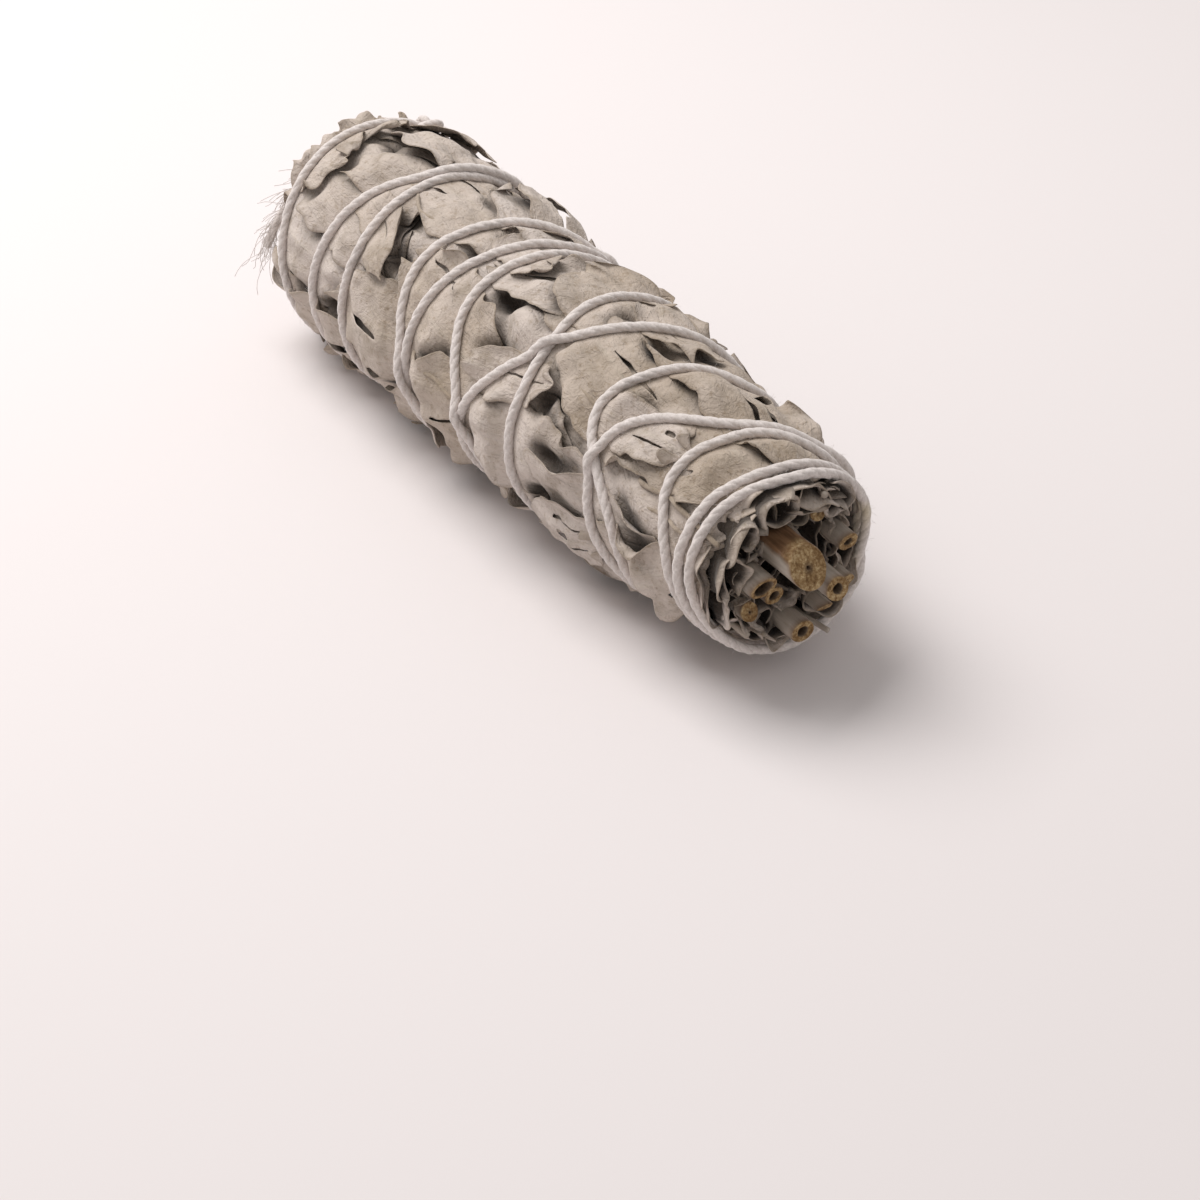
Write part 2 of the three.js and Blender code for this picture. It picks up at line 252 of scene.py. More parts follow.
def twine_distance():
    """Field of the distance to the nearest pass of the twine."""
    nearest = np.full((len(RUNS), ANGLE_STEPS), 1.0)
    for turn in range(-1, len(ROUTE)):
        running = np.degrees(ANGLES) + 360 * turn
        inside = (running >= TWINE_START) & (running <= TWINE_END)
        running = np.clip(running, TWINE_START, TWINE_END)
        passes = run_of(route_place(running))
        per_degree = (route_place(running + 2) - route_place(running - 2)) / 4
        around = MEAN_RADIUS * math.pi / 180
        upright = around / np.hypot(around, per_degree)
        away = np.abs(RUNS[:, None] - passes[None, :]) * upright[None, :]
        nearest = np.where(inside[None, :], np.minimum(nearest, away), nearest)
    return nearest


TWINE_AWAY = twine_distance()

# ---- Materials ----


def link(tree, source, target):
    tree.links.new(source, target)


def ramp_node(tree, factor, stops):
    """A colour ramp with the given places and colours."""
    node = tree.nodes.new("ShaderNodeValToRGB")
    ramp = node.color_ramp
    while len(ramp.elements) < len(stops):
        ramp.elements.new(0.5)
    for element, (place, color) in zip(ramp.elements, stops):
        element.position = place
        element.color = (*color, 1)
    link(tree, factor, node.inputs["Fac"])
    return node.outputs["Color"]


def noise_node(tree, vector, scale, detail=4, roughness=0.55, distortion=0.0):
    node = tree.nodes.new("ShaderNodeTexNoise")
    node.inputs["Scale"].default_value = scale
    node.inputs["Detail"].default_value = detail
    node.inputs["Roughness"].default_value = roughness
    node.inputs["Distortion"].default_value = distortion
    link(tree, vector, node.inputs["Vector"])
    return node.outputs["Fac"]


def math_node(tree, operation, first, second=None, third=None):
    node = tree.nodes.new("ShaderNodeMath")
    node.operation = operation
    for socket, value in zip(node.inputs, (first, second, third)):
        if value is None:
            continue
        if isinstance(value, (int, float)):
            socket.default_value = value
        else:
            link(tree, value, socket)
    return node.outputs["Value"]


def mix_node(tree, kind, factor, first, second):
    node = tree.nodes.new("ShaderNodeMix")
    node.data_type = "RGBA"
    node.blend_type = kind
    for socket, value in ((node.inputs[0], factor), (node.inputs[6], first), (node.inputs[7], second)):
        if isinstance(value, (int, float)):
            socket.default_value = value
        elif isinstance(value, tuple):
            socket.default_value = (*value, 1)
        else:
            link(tree, value, socket)
    return node.outputs[2]


def attribute_node(tree, name):
    node = tree.nodes.new("ShaderNodeAttribute")
    node.attribute_name = name
    return node.outputs["Fac"]


def bump_node(tree, height, strength, distance, before=None):
    node = tree.nodes.new("ShaderNodeBump")
    node.inputs["Strength"].default_value = strength
    node.inputs["Distance"].default_value = distance
    link(tree, height, node.inputs["Height"])
    if before is not None:
        link(tree, before, node.inputs["Normal"])
    return node.outputs["Normal"]


def new_material(name, roughness, sheen=0.0):
    material = bpy.data.materials.new(name)
    material.use_nodes = True
    tree = material.node_tree
    shader = tree.nodes["Principled BSDF"]
    shader.inputs["Roughness"].default_value = roughness
    shader.inputs["Specular IOR Level"].default_value = 0.2
    if sheen:
        shader.inputs["Sheen Weight"].default_value = sheen
        shader.inputs["Sheen Roughness"].default_value = 0.5
    place = tree.nodes.new("ShaderNodeTexCoord").outputs["Object"]
    return material, tree, shader, place


def leaf_material():
    """Dry felted leaf: grey-beige and mottled, with a faint midrib and veins and a pebbled skin, and
    painted shade, nearly black, far inside the bundle and in hollows under other leaves.
    """
    material, tree, shader, place = new_material("dry sage leaf", 0.9, 0.12)
    along, across = attribute_node(tree, "along"), attribute_node(tree, "across")
    tone, margin = attribute_node(tree, "tone"), attribute_node(tree, "margin")
    painted_shade = attribute_node(tree, "painted_shade")
    mottle = noise_node(tree, place, 130, 5, 0.65)
    patch = noise_node(tree, place, 34, 3, 0.5)
    speck = noise_node(tree, place, 700, 4, 0.7)
    blend = math_node(tree, "MULTIPLY_ADD", tone, 0.3, -0.13)
    blend = math_node(tree, "ADD", blend, patch)
    base = ramp_node(
        tree,
        blend,
        [
            (0.24, (0.435, 0.358, 0.290)),
            (0.40, (0.500, 0.424, 0.364)),
            (0.56, (0.545, 0.470, 0.418)),
            (0.74, (0.580, 0.508, 0.462)),
        ],
    )
    grain = ramp_node(
        tree,
        mottle,
        [(0.32, (0.70, 0.68, 0.63)), (0.5, (0.97, 0.97, 0.96)), (0.7, (1.08, 1.08, 1.07))],
    )
    color = mix_node(tree, "MULTIPLY", 0.9, base, grain)
    dots = ramp_node(tree, speck, [(0.34, (0.62, 0.56, 0.47)), (0.46, (1.0, 1.0, 1.0))])
    color = mix_node(tree, "MULTIPLY", 0.6, color, dots)
    off_rib = math_node(tree, "ABSOLUTE", across)
    wander = math_node(tree, "MULTIPLY", mottle, 7.0)
    slanted = math_node(tree, "MULTIPLY_ADD", off_rib, -1.1, along)
    slanted = math_node(tree, "ADD", slanted, wander)
    wave = math_node(tree, "PINGPONG", slanted, 2.4)
    side_vein = math_node(tree, "SMOOTH_MIN", wave, 0.5, 0.4)
    side_vein = math_node(tree, "MULTIPLY", side_vein, -1.2)
    rib = math_node(tree, "SMOOTH_MIN", off_rib, 0.7, 0.4)
    rib = math_node(tree, "MULTIPLY", rib, -1.4)
    veins = math_node(tree, "MAXIMUM", side_vein, rib)
    pale = math_node(tree, "LESS_THAN", off_rib, 0.35)
    pale = math_node(tree, "MULTIPLY", pale, 0.16)
    color = mix_node(tree, "MIX", pale, color, (0.52, 0.46, 0.37))
    near_margin = ramp_node(tree, margin, [(0.0, (1, 1, 1)), (0.8, (0, 0, 0))])
    edge_share = math_node(tree, "MULTIPLY", near_margin, 0.5)
    color = mix_node(tree, "MIX", edge_share, color, (0.27, 0.21, 0.15))
    # painted shade: the colour goes nearly black far inside the bundle and in hollows under leaf edges
    shade_darkness = math_node(tree, "MULTIPLY", painted_shade, 0.93)
    color = mix_node(tree, "MIX", shade_darkness, color, (0.040, 0.029, 0.021))
    link(tree, color, shader.inputs["Base Color"])
    cells = tree.nodes.new("ShaderNodeTexVoronoi")
    cells.feature = "SMOOTH_F1"
    cells.inputs["Scale"].default_value = 1000
    link(tree, place, cells.inputs["Vector"])
    felt = noise_node(tree, place, 2600, 2, 0.6)
    lengthwise = tree.nodes.new("ShaderNodeCombineXYZ")
    link(tree, math_node(tree, "MULTIPLY", along, 0.16), lengthwise.inputs["X"])
    link(tree, across, lengthwise.inputs["Y"])
    link(tree, math_node(tree, "MULTIPLY", tone, 40.0), lengthwise.inputs["Z"])
    creases = noise_node(tree, lengthwise.outputs["Vector"], 0.5, 4, 0.6, 0.6)
    creases = math_node(tree, "PINGPONG", creases, 0.12)
    crumbling = noise_node(tree, place, 330, 3, 0.6, 0.8)
    crumbling = math_node(tree, "PINGPONG", crumbling, 0.11)
    normal = bump_node(tree, cells.outputs["Distance"], 0.4, 0.3 * MM)
    normal = bump_node(tree, mottle, 0.5, 1.0 * MM, normal)
    normal = bump_node(tree, creases, 0.5, 2.6 * MM, normal)
    normal = bump_node(tree, crumbling, 0.5, 2.0 * MM, normal)
    normal = bump_node(tree, veins, 0.35, 0.35 * MM, normal)
    normal = bump_node(tree, felt, 0.3, 0.08 * MM, normal)
    link(tree, normal, shader.inputs["Normal"])
    return material


def twine_material():
    """Soft undyed cotton, off-white, with a few yellowed stretches."""
    material, tree, shader, place = new_material("cotton twine", 0.92, 0.4)
    stain = noise_node(tree, place, 42, 2, 0.5)
    fibre = noise_node(tree, place, 1500, 3, 0.65)
    clean = ramp_node(tree, fibre, [(0.3, (0.56, 0.505, 0.468)), (0.65, (0.735, 0.67, 0.638))])
    yellow = ramp_node(tree, stain, [(0.66, (1, 1, 1)), (0.76, (0.88, 0.84, 0.66))])
    color = mix_node(tree, "MULTIPLY", 1.0, clean, yellow)
    link(tree, color, shader.inputs["Base Color"])
    normal = bump_node(tree, fibre, 0.6, 0.12 * MM)
    link(tree, normal, shader.inputs["Normal"])
    return material


def stem_material():
    """Woody stem: grey-beige skin, ochre wood in the cut, brown pith, and painted shade, nearly black, on
    the skin far inside the bundle.
    """
    material, tree, shader, place = new_material("woody stem", 0.85)
    cut, peeled = attribute_node(tree, "cut"), attribute_node(tree, "peeled")
    pith, painted_shade = attribute_node(tree, "pith"), attribute_node(tree, "painted_shade")
    stretch = tree.nodes.new("ShaderNodeMapping")
    stretch.inputs["Scale"].default_value = (0.12, 1, 1)
    link(tree, place, stretch.inputs["Vector"])
    streak = noise_node(tree, stretch.outputs["Vector"], 900, 4, 0.6)
    crumb = noise_node(tree, place, 1500, 4, 0.7)
    skin = ramp_node(tree, streak, [(0.3, (0.33, 0.275, 0.225)), (0.7, (0.50, 0.44, 0.38))])
    blotch = noise_node(tree, place, 420, 3, 0.6)
    wood = ramp_node(
        tree,
        crumb,
        [(0.3, (0.15, 0.085, 0.036)), (0.5, (0.34, 0.225, 0.108)), (0.70, (0.58, 0.455, 0.27))],
    )
    stained = ramp_node(tree, blotch, [(0.4, (0.52, 0.44, 0.36)), (0.58, (1, 1, 1))])
    wood = mix_node(tree, "MULTIPLY", 0.9, wood, stained)
    bare = ramp_node(tree, streak, [(0.3, (0.10, 0.048, 0.022)), (0.7, (0.27, 0.150, 0.078))])
    soft = ramp_node(tree, crumb, [(0.3, (0.05, 0.030, 0.018)), (0.7, (0.15, 0.10, 0.06))])
    color = mix_node(tree, "MIX", peeled, skin, bare)
    color = mix_node(tree, "MIX", cut, color, wood)
    color = mix_node(tree, "MIX", pith, color, soft)
    # painted shade: the skin goes nearly black far inside the bundle
    shade_darkness = math_node(tree, "MULTIPLY", painted_shade, 0.85)
    color = mix_node(tree, "MIX", shade_darkness, color, (0.05, 0.036, 0.026))
    link(tree, color, shader.inputs["Base Color"])
    normal = bump_node(tree, streak, 0.5, 0.2 * MM)
    normal = bump_node(tree, crumb, 0.5, 0.2 * MM, normal)
    link(tree, normal, shader.inputs["Normal"])
    return material


LEAF = leaf_material()
TWINE = twine_material()
STEM = stem_material()

# ---- Leaves ----

LEAF_CELL = 1.45 * MM  # a leaf's grid, along and across
LEAST_CELLS = (27, 13)
MOST_ROWS = 44
FULLEST = 0.554  # a leaf is widest at this share of its length
HIDDEN_LEAVES = 30  # so many of the first leaves are mostly covered, and stay coarser
HOLLOWS = 58  # deep hollows under leaf edges

pile = np.zeros((len(RUNS), ANGLE_STEPS))  # height of the leaves laid so far
top_leaf = np.full((len(RUNS), ANGLE_STEPS), -1)  # which leaf lies uppermost
leaves = []


def noise_at(x, y, seed, scale):
    """Smooth noise in -1 to 1, for arrays of places in metres and a grain size in metres."""
    x, y = np.broadcast_arrays(x, y)
    flat_x, flat_y = np.ravel(x / scale), np.ravel(y / scale)
    values = [noise.noise(Vector((a, b, seed * 7.31))) for a, b in zip(flat_x, flat_y)]
    return np.array(values).reshape(x.shape)


def noise_along(places, row):
    """Smooth noise along a line, for places counted in grains of it."""
    return np.array([noise.noise(Vector((place, row, 0))) for place in places])


def creased(x, y, seed, scale):
    """Noise with sharp ridges, from 0 in the valleys to 1 on the ridges."""
    return 1 - np.minimum(2.4 * np.abs(noise_at(x, y, seed, scale)), 1)


def refined(values):
    """A grid of values with a new one half way between each two."""
    rows = np.empty((2 * values.shape[0] - 1, values.shape[1]))
    rows[::2] = values
    rows[1::2] = (values[:-1] + values[1:]) / 2
    grid = np.empty((rows.shape[0], 2 * rows.shape[1] - 1))
    grid[:, ::2] = rows
    grid[:, 1::2] = (rows[:, :-1] + rows[:, 1:]) / 2
    return grid


def lay_leaf(name, nodes, run, angle, length, width, heading, seed, lift=1.0):
    """Lays one leaf on the pile, and remembers it until the whole pile is known.

    heading turns its tip from the leaf-tip end of the bundle, in radians.
    """
    rng = random.Random(seed)
    far_side = max(-math.sin(angle), 0)
    stem_limit = (rng.uniform(87, 95.5) - 3.5 * far_side) * MM
    tip_limit = RUN_LOW + rng.uniform(1.5, 9) * MM
    run = min(run, stem_limit - length / 2)
    run = max(run, tip_limit + length / 2)
    rows = min(max(round(length / LEAF_CELL), LEAST_CELLS[0]), MOST_ROWS)
    columns = max(round(width / LEAF_CELL), LEAST_CELLS[1])
    u, v = np.meshgrid(np.linspace(0, 1, rows), np.linspace(-1, 1, columns), indexing="ij")
    fullness = u**0.62 * (1 - u) ** 0.5
    fullness = 0.2 + 0.8 * fullness / (FULLEST**0.62 * (1 - FULLEST) ** 0.5)
    if rng.random() < 0.6:
        torn_end = rng.uniform(0.45, 0.85) * smoothstep(0.3, 0.7, u)
        fullness = np.maximum(fullness, torn_end)
    if run + length / 2 > HALF_LENGTH - 16 * MM:
        fullness = np.maximum(fullness, 0.8)
    side = np.where(v < 0, 3.1, 8.7)
    wavy = 0.2 * noise_at(u * length, side * MM, seed + 1, 11 * MM)
    crisp = 0.17 * noise_at(u * length, side * MM, seed + 2, 2.9 * MM)
    half_width = 0.5 * width * fullness * (1 + wavy + crisp)
    ragged = noise_at(v * width / 2, u * 9 * MM, seed + 3, 5 * MM) * 4 * MM
    ragged += noise_at(v * width / 2, u * 9 * MM, seed + 8, 2.2 * MM) * 1.9 * MM
    along = (u - 0.5) * length + ragged * (smoothstep(0.85, 1, u) + 0.5 * smoothstep(0.85, 1, 1 - u))
    along += 6 * MM * np.abs(v) ** 3 * smoothstep(0.85, 1, 1 - u)
    bend = rng.uniform(-0.16, 0.16)
    across = v * half_width + bend * length * ((2 * u - 1) ** 2 - 0.33) * 0.5
    toward_tips = along * math.cos(heading) - across * math.sin(heading)
    sideways = along * math.sin(heading) + across * math.cos(heading)
    place = np.clip(run - toward_tips, RUNS[0] + 1 * MM, RUNS[-1] - 1.5 * MM)
    local_radius = np.maximum(np.interp(place, RUNS, PROFILE_RADIUS), 12 * MM)
    turn = angle + sideways / local_radius
    under = blurred(spread(pile, 1), 2.0)
    height = np.maximum(sample(under, place, turn), sample(pile, place, turn))
    fine_height = refined(refined(height))
    row, column = grid_place(refined(refined(place)), refined(refined(turn)))
    cells = (np.round(row).astype(int), np.round(column).astype(int) % ANGLE_STEPS)
    np.maximum.at(pile, cells, fine_height + LEAF_THICKNESS + 0.08 * MM)
    top_leaf[cells] = len(leaves)
    leaves.append(
        dict(
            name=name,
            nodes=nodes,
            run=place,
            angle=turn,
            radius=local_radius,
            heading=heading,
            height=height + LEAF_THICKNESS / 2,
            along=u * length,
            across=v * half_width,
            half_width=half_width,
            u=u,
            v=v,
            length=length,
            seed=seed,
            lift=lift,
            tone=rng.uniform(0, 1),
        )
    )


def node_place(name):
    """Where a leaf of the frame lies: run, angle, length, width and heading."""
    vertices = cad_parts[name].data.vertices
    points = np.array([v.co for v in vertices]) - np.array(AXIS)
    angles = np.arctan2(-points[:, 1], points[:, 2])
    middle = math.atan2(np.sin(angles).mean(), np.cos(angles).mean())
    turned = (angles - middle + math.pi) % (2 * math.pi) - math.pi
    x = points[:, 0]
    slope = np.polyfit(x, turned * MEAN_RADIUS, 1)[0]
    return x.mean(), middle, np.ptp(x), np.ptp(turned) * MEAN_RADIUS, -math.atan(slope)


def lay_frame_leaves(numbers, seed, lift):
    """Lays the frame's leaves in their places."""
    rng = random.Random(seed)
    for number in numbers:
        node = f"outer_leaf_{number:02d}"
        run, angle, length, width, heading = node_place(node)
        heading += rng.uniform(-0.12, 0.12)
        length, width = 1.22 * length, min(1.12 * width, 34 * MM)
        name = f"leaf_blade_{number:02d}"
        own_lift = lift * rng.uniform(0.4, 1.5)
        lay_leaf(name, [node], run, angle, length, width, heading, seed + number, own_lift)


def lay_more_leaves(numbers, from_run, to_run, longest, widest, lift, seed):
    """Lays more leaves, spread round the bundle, between two places on the run."""
    rng = random.Random(seed)
    for i, number in enumerate(numbers):
        run = from_run + (i + rng.uniform(0.1, 0.9)) / len(numbers) * (to_run - from_run)
        angle = (i * GOLDEN_TURN + rng.uniform(-0.35, 0.35)) % (2 * math.pi)
        length = rng.uniform(0.6, 1.0) * longest
        width = rng.uniform(0.65, 1.0) * widest
        heading = rng.gauss(0, 0.22) + (math.pi if rng.random() < 0.3 else 0)
        name = f"more_leaf_{number:02d}"
        own_lift = lift * rng.uniform(0.4, 1.6)
        lay_leaf(name, [], run, angle, length, width, heading, seed + number, own_lift)


STEM_SIDE = HALF_LENGTH - 20 * MM
lay_more_leaves(range(1, 8), RUN_LOW + 22 * MM, RUN_LOW + 26 * MM, 48 * MM, 26 * MM, 0.6, 800)
lay_frame_leaves(range(16, 31), 100, 0.6)
lay_more_leaves(range(8, 20), -70 * MM, STEM_SIDE, 70 * MM, 28 * MM, 0.8, 520)
lay_frame_leaves(range(1, 16), 200, 1.0)
lay_more_leaves(range(20, 56), -80 * MM, STEM_SIDE, 62 * MM, 27 * MM, 1.0, 560)
lay_more_leaves(range(62, 80), -78 * MM, STEM_SIDE, 34 * MM, 15 * MM, 0.7, 720)
lay_more_leaves(range(56, 62), RUN_LOW + 20 * MM, RUN_LOW + 24 * MM, 44 * MM, 22 * MM, 1.0, 640)

# ---- How the pile settles: pressed in by the twine, swollen and creased between its passes ----

settled = blurred(pile, 2.5)
seat = blurred(pile, 5)
grid_run, grid_angle = np.meshgrid(RUNS, ANGLES, indexing="ij")


def wrap_noise(scale_run, scale_round, seed):
    """A noise field that closes round the bundle."""
    y = np.sin(grid_angle) * MEAN_RADIUS / scale_round
    z = np.cos(grid_angle) * MEAN_RADIUS / scale_round
    values = [
        noise.noise(Vector((a, b, c)) + Vector((seed, 0, seed * 3.7)))
        for a, b, c in zip((grid_run / scale_run).ravel(), y.ravel(), z.ravel())
    ]
    return np.array(values).reshape(grid_run.shape)


def shared_shape():
    """Height that all leaves at a place share."""
    swell = PILLOW * (1 - np.exp(-(np.clip(TWINE_AWAY - 1.0 * MM, 0, None) / (4.5 * MM)) ** 1.25))
    swell = swell * (0.85 + 0.75 * wrap_noise(17 * MM, 15 * MM, 1.3))
    pleats = (1 - np.abs(wrap_noise(26 * MM, 4.4 * MM, 5.1)) * 3) * 0.75 * MM
    dents = wrap_noise(10 * MM, 8 * MM, 9.2) * 0.8 * MM
    pleat_share = smoothstep(-0.5 * MM, 5 * MM, TWINE_AWAY)
    return swell + (pleats + dents) * pleat_share


def gaps_under_leaves():
    """How far the uppermost leaf stands off the leaves under it, with some deep hollows."""
    depth = (0.7 + 2.4 * np.clip(wrap_noise(13 * MM, 11 * MM, 4.1), 0, 1)) * MM
    edge = np.zeros(top_leaf.shape, dtype=bool)
    edge[:-1] = top_leaf[:-1] != top_leaf[1:]
    edge |= top_leaf != np.roll(top_leaf, 1, axis=1)
    rng = np.random.default_rng(8)
    liking = rng.random(top_leaf.shape) * edge * (TWINE_AWAY > 4 * MM)
    for _ in range(HOLLOWS):
        row, column = np.unravel_index(np.argmax(liking), liking.shape)
        around = np.angle(np.exp(1j * (grid_angle - ANGLES[column]))) * MEAN_RADIUS
        away = np.hypot((grid_run - RUNS[row]) / 1.7, around)
        depth = np.maximum(depth, rng.uniform(3, 7) * MM * np.exp(-((away / (2.8 * MM)) ** 2)))
        liking[away < 7.5 * MM] = 0
    return depth * smoothstep(1.5 * MM, 5 * MM, TWINE_AWAY)


shared = shared_shape()
gap_depth = gaps_under_leaves()
squeeze = 0.18 + 0.82 * smoothstep(1.0 * MM, 5.5 * MM, TWINE_AWAY)
ruffle = wrap_noise(16 * MM, 4.3 * MM, 12.7)
ruffle_lean = wrap_noise(40 * MM, 12 * MM, 17.9)


def new_object(name, bm, material, smooth=True):
    """Makes an object of a bmesh, with one material."""
    mesh = bpy.data.meshes.new(name)
    bm.to_mesh(mesh)
    bm.free()
    if smooth:
        mesh.shade_smooth()
    mesh.materials.append(material)
    piece = bpy.data.objects.new(name, mesh)
    bpy.context.scene.collection.objects.link(piece)
    return piece


def rounded(piece, levels):
    fine = piece.modifiers.new("smooth", "SUBSURF")
    fine.levels = fine.render_levels = levels


def put_on_bundle(piece, nodes=()):
    """Fixes a piece to the bundle, and hides the parts of the frame that it stands for."""
    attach(piece, "root")
    if nodes:
        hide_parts(*nodes)


def new_sheet(name, points, values, material, torn=None, seam=False):
    """A grid of points as an object, with values as its attributes.

    Cells marked as torn are left out. A sheet with a seam closes on itself, and is joined there.
    """
    rows, columns = points.shape[:2]
    values = {key: np.broadcast_to(value, (rows, columns)) for key, value in values.items()}
    bm = bmesh.new()
    bmesh.ops.create_grid(bm, x_segments=rows - 1, y_segments=columns - 1, size=1)
    places = np.array([v.co for v in bm.verts])
    row = np.round((places[:, 0] + 1) / 2 * (rows - 1)).astype(int)
    column = np.round((places[:, 1] + 1) / 2 * (columns - 1)).astype(int)
    lost = []
    if torn is not None:
        for face in bm.faces:
            middle = face.calc_center_median()
            cell_row = int((middle.x + 1) / 2 * (rows - 1))
            cell_column = int((middle.y + 1) / 2 * (columns - 1))
            if torn[cell_row, cell_column]:
                lost.append(face)
    layers = {key: bm.verts.layers.float.new(key) for key in values}
    for vertex, r, c in zip(bm.verts, row, column):
        vertex.co = points[r, c]
        for key, layer in layers.items():
            vertex[layer] = values[key][r, c]
    bmesh.ops.delete(bm, geom=lost, context="FACES")
    if seam:
        bmesh.ops.remove_doubles(bm, verts=bm.verts, dist=0.002 * MM)
        bmesh.ops.recalc_face_normals(bm, faces=bm.faces)
    return new_object(name, bm, material)


def leaf_sheet(name, points, along, across, margin, tone, painted_shade, nodes=(), torn=None, levels=1):
    """A leaf from the points of its sheet, with what its material reads: places on it, its tone and its
    painted shade.
    """
    values = {"along": along / MM, "across": across / MM, "margin": margin / MM, "tone": tone, "painted_shade": painted_shade}
    piece = new_sheet(name, points, values, LEAF, torn)
    wall = piece.modifiers.new("thickness", "SOLIDIFY")
    wall.thickness = LEAF_THICKNESS
    wall.offset = 0
    rounded(piece, levels)
    put_on_bundle(piece, nodes)


def curl_margin(from_edge, strength):
    """Rolls the margin of a leaf up and back. Gives the shift inwards and the rise."""
    zone = 3.6 * MM
    arc = np.clip(zone - from_edge, 0, None)
    bend = np.maximum(strength, 0.02) / (1.15 * MM)
    return arc - np.sin(bend * arc) / bend, (1 - np.cos(bend * arc)) / bend


def open_cracks(run, angle, height, rng):
    """Splits a leaf along its length. Returns which cells are gone."""
    torn = np.zeros((run.shape[0] - 1, run.shape[1] - 1), dtype=bool)
    for _ in range(rng.choice([0, 1, 1, 2])):
        column = rng.randrange(3, run.shape[1] - 5)
        count = rng.randrange(7, 17)
        first = rng.randrange(3, run.shape[0] - count - 4)
        for i in range(count + 1):
            r = first + i
            open_share = math.sin(math.pi * i / count)
            gap = open_share * rng.uniform(0.12, 0.45) + 0.02
            middle_run = (run[r, column] + run[r, column + 1]) / 2 + rng.uniform(-0.2, 0.2) * MM
            middle_angle = (angle[r, column] + angle[r, column + 1]) / 2 + rng.uniform(-0.008, 0.008)
            for c, side in ((column, -1), (column + 1, 1)):
                run[r, c] = middle_run + side * gap * abs(run[r, c] - middle_run)
                half = (angle[r, c] - middle_angle) * gap
                angle[r, c] = middle_angle + half
            height[r, column] += 0.6 * MM * open_share
        torn[first : first + count, column] = True
    if rng.random() < 0.45:
        row, column = rng.randrange(4, run.shape[0] - 8), rng.randrange(3, run.shape[1] - 5)
        torn[row : row + rng.randrange(3, 6), column] = True
    return torn


def build_leaf(index, leaf):
    """Shapes one laid leaf, with its free edges lifted and its covered part pressed flat."""
    seed = leaf["seed"]
    rng = random.Random(seed + 40)
    run, angle = leaf["run"].copy(), leaf["angle"].copy()
    u, v, along, across = leaf["u"], leaf["v"], leaf["along"], leaf["across"]
    covered = sample(blurred((top_leaf > index).astype(float), 1.1), run, angle)
    near_cover = sample(blurred((spread(top_leaf, 1) > index).astype(float), 0.8), run, angle)
    free = np.clip(1 - 1.25 * covered, 0, 1)
    loose = smoothstep(1.5 * MM, 7 * MM, sample(TWINE_AWAY, run, angle))
    from_side = (1 - np.abs(v)) * leaf["half_width"]
    from_end = np.minimum(u, 1 - u) * leaf["length"]
    from_edge = np.minimum(from_side, from_end)
    edge_mood = noise_at(along, np.sign(v) * 5 * MM, seed + 4, 13 * MM)
    lift = np.clip((0.5 + 1.6 * edge_mood) * leaf["lift"], 0.0, 1.25) * 1.9 * MM
    raised = lift * np.exp(-from_edge / (3.4 * MM)) * loose
    curl_mood = noise_at(along, np.sign(v) * 5 * MM, seed + 9, 9 * MM)
    strength = np.clip(-0.1 + 2.6 * curl_mood, 0, 1) * free * loose
    strength = strength * smoothstep(4.5 * MM, 10 * MM, leaf["half_width"].max())
    side_shift, side_rise = curl_margin(from_side, strength)
    across_shift = -np.sign(v) * side_shift
    run = run + across_shift * math.sin(leaf["heading"])
    angle = angle + across_shift * math.cos(leaf["heading"]) / leaf["radius"]
    crumple = 0.8 * MM * (creased(along, across, seed + 5, 14 * MM) - 0.5)
    crumple += 0.6 * MM * (creased(along, across, seed + 6, 6 * MM) - 0.5)
    crumple += 0.35 * MM * noise_at(along, across, seed + 10, 2.4 * MM)
    folds = 1.4 * MM * (creased(along / 5, across, seed + 7, 6 * MM) - 0.4)
    folds += 0.8 * MM * (creased(along / 6, across, seed + 12, 2.9 * MM) - 0.4)
    rib = 0.35 * MM * np.exp(-((across / (0.8 * MM)) ** 2)) * (1 - u)
    height = leaf["height"] + (raised + side_rise + (crumple + folds) * (0.3 + 0.7 * loose) + rib) * free
    torn = open_cracks(run, angle, height, rng)
    away = sample(TWINE_AWAY, run, angle)
    under_twine = smoothstep(5 * MM, 1.5 * MM, away)
    rest = sample(settled, run, angle) * (1 - under_twine) + sample(seat, run, angle) * under_twine
    rest -= 0.15 * MM
    height = rest + (height - rest) * sample(squeeze, run, angle)
    height += sample(shared, run, angle)
    gap = sample(gap_depth, run, angle) * near_cover
    height -= gap
    end_share = smoothstep(HALF_LENGTH - 14 * MM, HALF_LENGTH + 1 * MM, run)
    own_ruffle = noise_at(angle * 19 * MM, run, seed + 11, 4.5 * MM)
    ruffled = end_share * (5.2 * sample(ruffle, run, angle) + 2.6 * own_ruffle)
    ruffled += end_share**2 * np.clip(6.0 * sample(ruffle_lean, run, angle) - 1.2, -4, 0.8)
    height += np.where(ruffled > 0, 0.4 * ruffled, ruffled) * MM
    too_high = np.clip(height - rest - STAND_OFF, 0, None)
    height += SOFT_LIMIT * (1 - np.exp(-too_high / SOFT_LIMIT)) - too_high
    points = on_surface(run, angle, height)
    # painted shade: dark in the hollows beside the edge of a leaf that lies over this one
    painted_shade = np.clip(gap / (2.2 * MM), 0, 1) * smoothstep(0.6, 1.0, near_cover)
    at_stem_end = run.max() > HALF_LENGTH - 9 * MM
    levels = 1 if index >= HIDDEN_LEAVES or at_stem_end else 0
    name, tone, nodes = leaf["name"], leaf["tone"], leaf["nodes"]
    leaf_sheet(name, points, along, across, from_edge, tone, painted_shade, nodes, torn, levels)


for leaf_index, laid_leaf in enumerate(leaves):
    build_leaf(leaf_index, laid_leaf)

# ---- Stems and the leaves crumpled between them ----

CORE_RADIUS = 15.9 * MM  # the stems' places and sizes are shares of this
CORE_SPREAD = 0.2154 / 2  # how much they spread out towards the middle of the bundle

